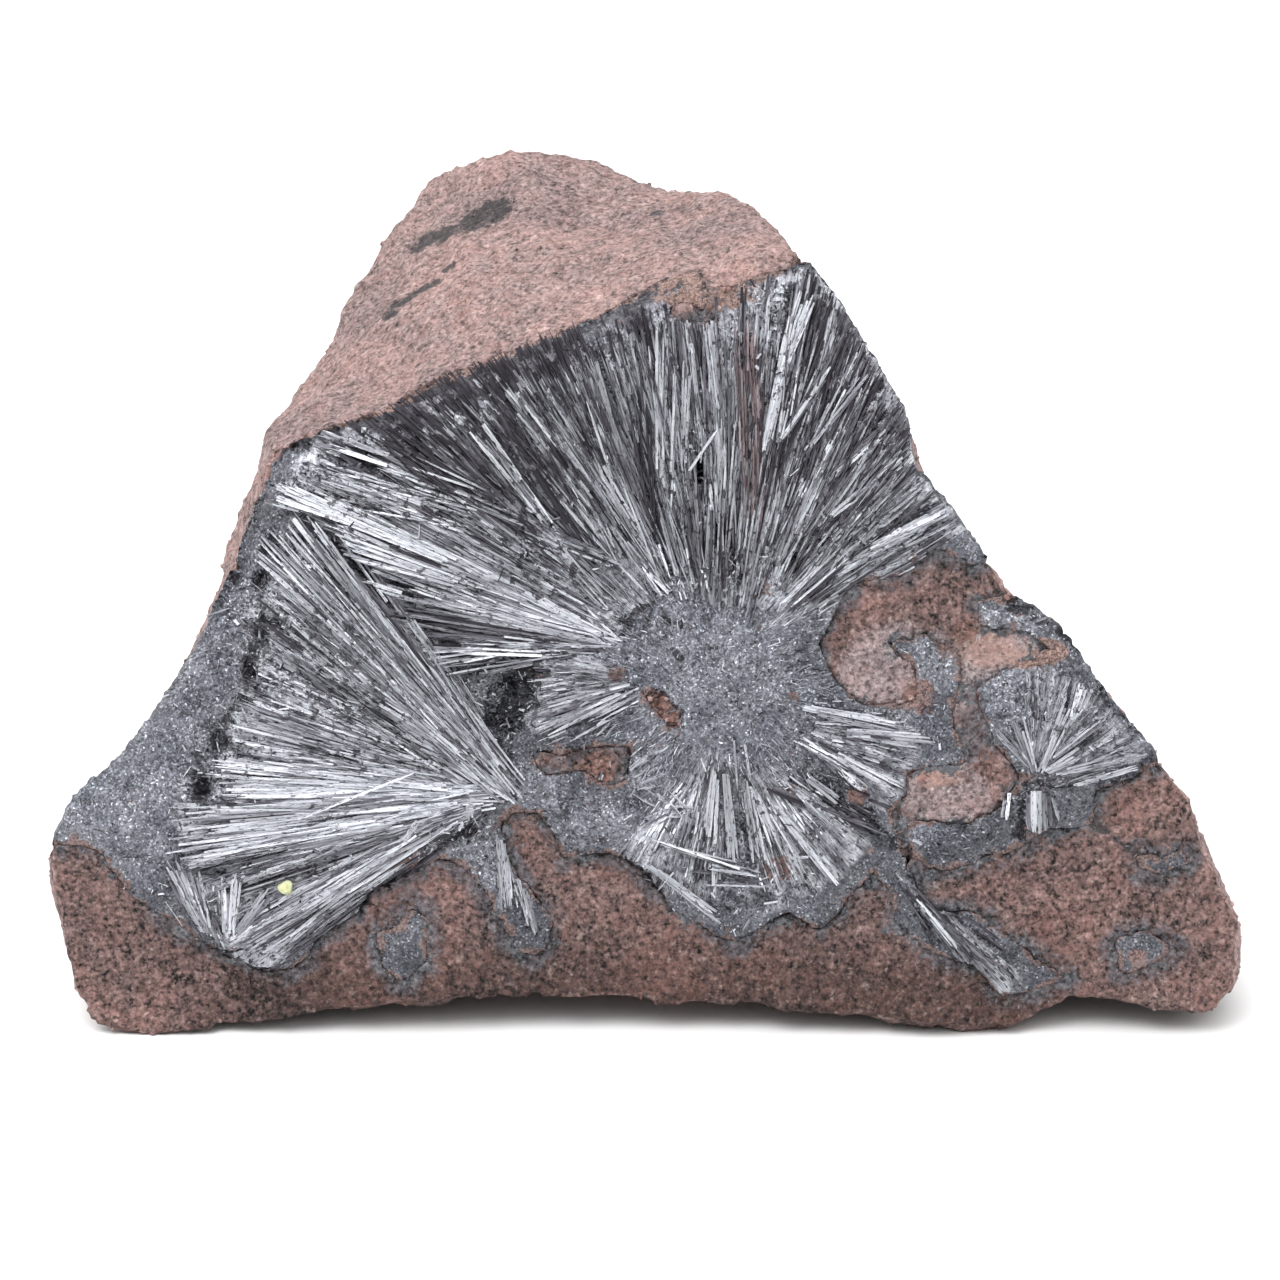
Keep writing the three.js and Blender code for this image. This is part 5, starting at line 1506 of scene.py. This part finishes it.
class PYROLUSITE_OT_stage(bpy.types.Operator):
    """Sets the pale floor, the soft light and the camera"""
    bl_idname = "pyrolusite.stage"
    bl_label = "Floor, light and camera"

    def execute(self, context):
        stage = context.scene.stage
        bm = bmesh.new()
        bmesh.ops.create_circle(bm, cap_ends=True, segments=96, radius=stage.floor)
        mesh = bpy.data.meshes.new("floor")
        bm.to_mesh(mesh)
        bm.free()
        floor = bpy.data.objects.new("floor", mesh)
        context.scene.collection.objects.link(floor)
        material, s = new_material("floor")
        s.surface(Base_Color=(0.93, 0.93, 0.93, 1), Roughness=0.9)
        mesh.materials.append(material)

        world = bpy.data.worlds.new("studio")
        context.scene.world = world
        world.use_nodes = True
        w = Shader(world.node_tree)
        towards = w.node("ShaderNodeTexCoord", output="Generated")
        x, y, z = (w.node("ShaderNodeSeparateXYZ", None, {0: towards}, i) for i in range(3))
        overhead = z.above(0.15, 0.75)
        ahead = (0 - y).above(0.55, 0.95) * (1 - overhead)
        level = (stage.beside + overhead * (stage.above - stage.beside)) * (1 - ahead) + ahead * stage.front
        seen = w.node("ShaderNodeLightPath", output="Is Camera Ray")
        strength = seen * stage.backdrop + (1 - seen) * level
        sky = w.node("ShaderNodeBackground", None, {"Color": (1, 1, 1, 1), "Strength": strength})
        w.node("ShaderNodeOutputWorld", None, {"Surface": sky})

        lamp_data = bpy.data.lights.new("softbox", "AREA")
        lamp_data.shape, lamp_data.size, lamp_data.energy = "DISK", stage.lamp_size, stage.lamp
        lamp = bpy.data.objects.new("softbox", lamp_data)
        lamp.location = (-0.18, -0.22, 0.42)
        aim = Vector((0, 0, 0.03)) - Vector(lamp.location)
        lamp.rotation_euler = aim.to_track_quat("-Z", "Y").to_euler()
        context.scene.collection.objects.link(lamp)

        camera_data = bpy.data.cameras.new("camera")
        camera_data.lens, camera_data.sensor_width, camera_data.clip_start = 100, 36, 0.01
        camera = bpy.data.objects.new("camera", camera_data)
        camera.location = to_world(*CAMERA_PLACE)
        camera.rotation_euler = (math.pi / 2 - LEAN, 0, 0)
        context.scene.collection.objects.link(camera)
        context.scene.camera = camera
        context.scene.view_settings.view_transform = "Standard"
        return {"FINISHED"}


class PYROLUSITE_PT_panel(bpy.types.Panel):
    """Lists the specimen's steps in the sidebar"""
    bl_idname = "PYROLUSITE_PT_panel"
    bl_label = "Pyrolusite specimen"
    bl_space_type = "VIEW_3D"
    bl_region_type = "UI"
    bl_category = "Pyrolusite"

    def draw(self, context):
        for step in STEPS:
            self.layout.operator(step.bl_idname)


STEPS = (
    PYROLUSITE_OT_sandstone,
    PYROLUSITE_OT_ore,
    PYROLUSITE_OT_needles,
    PYROLUSITE_OT_felt,
    PYROLUSITE_OT_crumbs,
    PYROLUSITE_OT_grains,
    PYROLUSITE_OT_yellow_grain,
    PYROLUSITE_OT_stage,
)
SETTINGS = {
    "sandstone": SandstoneSettings,
    "ore": OreSettings,
    "needles": NeedleSettings,
    "stage": StageSettings,
}


def register():
    for kind in (*SETTINGS.values(), *STEPS, PYROLUSITE_PT_panel):
        bpy.utils.register_class(kind)
    for name, kind in SETTINGS.items():
        setattr(bpy.types.Scene, name, PointerProperty(type=kind))


def unregister():
    for name in SETTINGS:
        delattr(bpy.types.Scene, name)
    for kind in reversed((*SETTINGS.values(), *STEPS, PYROLUSITE_PT_panel)):
        bpy.utils.unregister_class(kind)


def main():
    register()
    for step in STEPS:
        group, name = step.bl_idname.split(".")
        getattr(getattr(bpy.ops, group), name)()


if __name__ == "__main__":
    main()
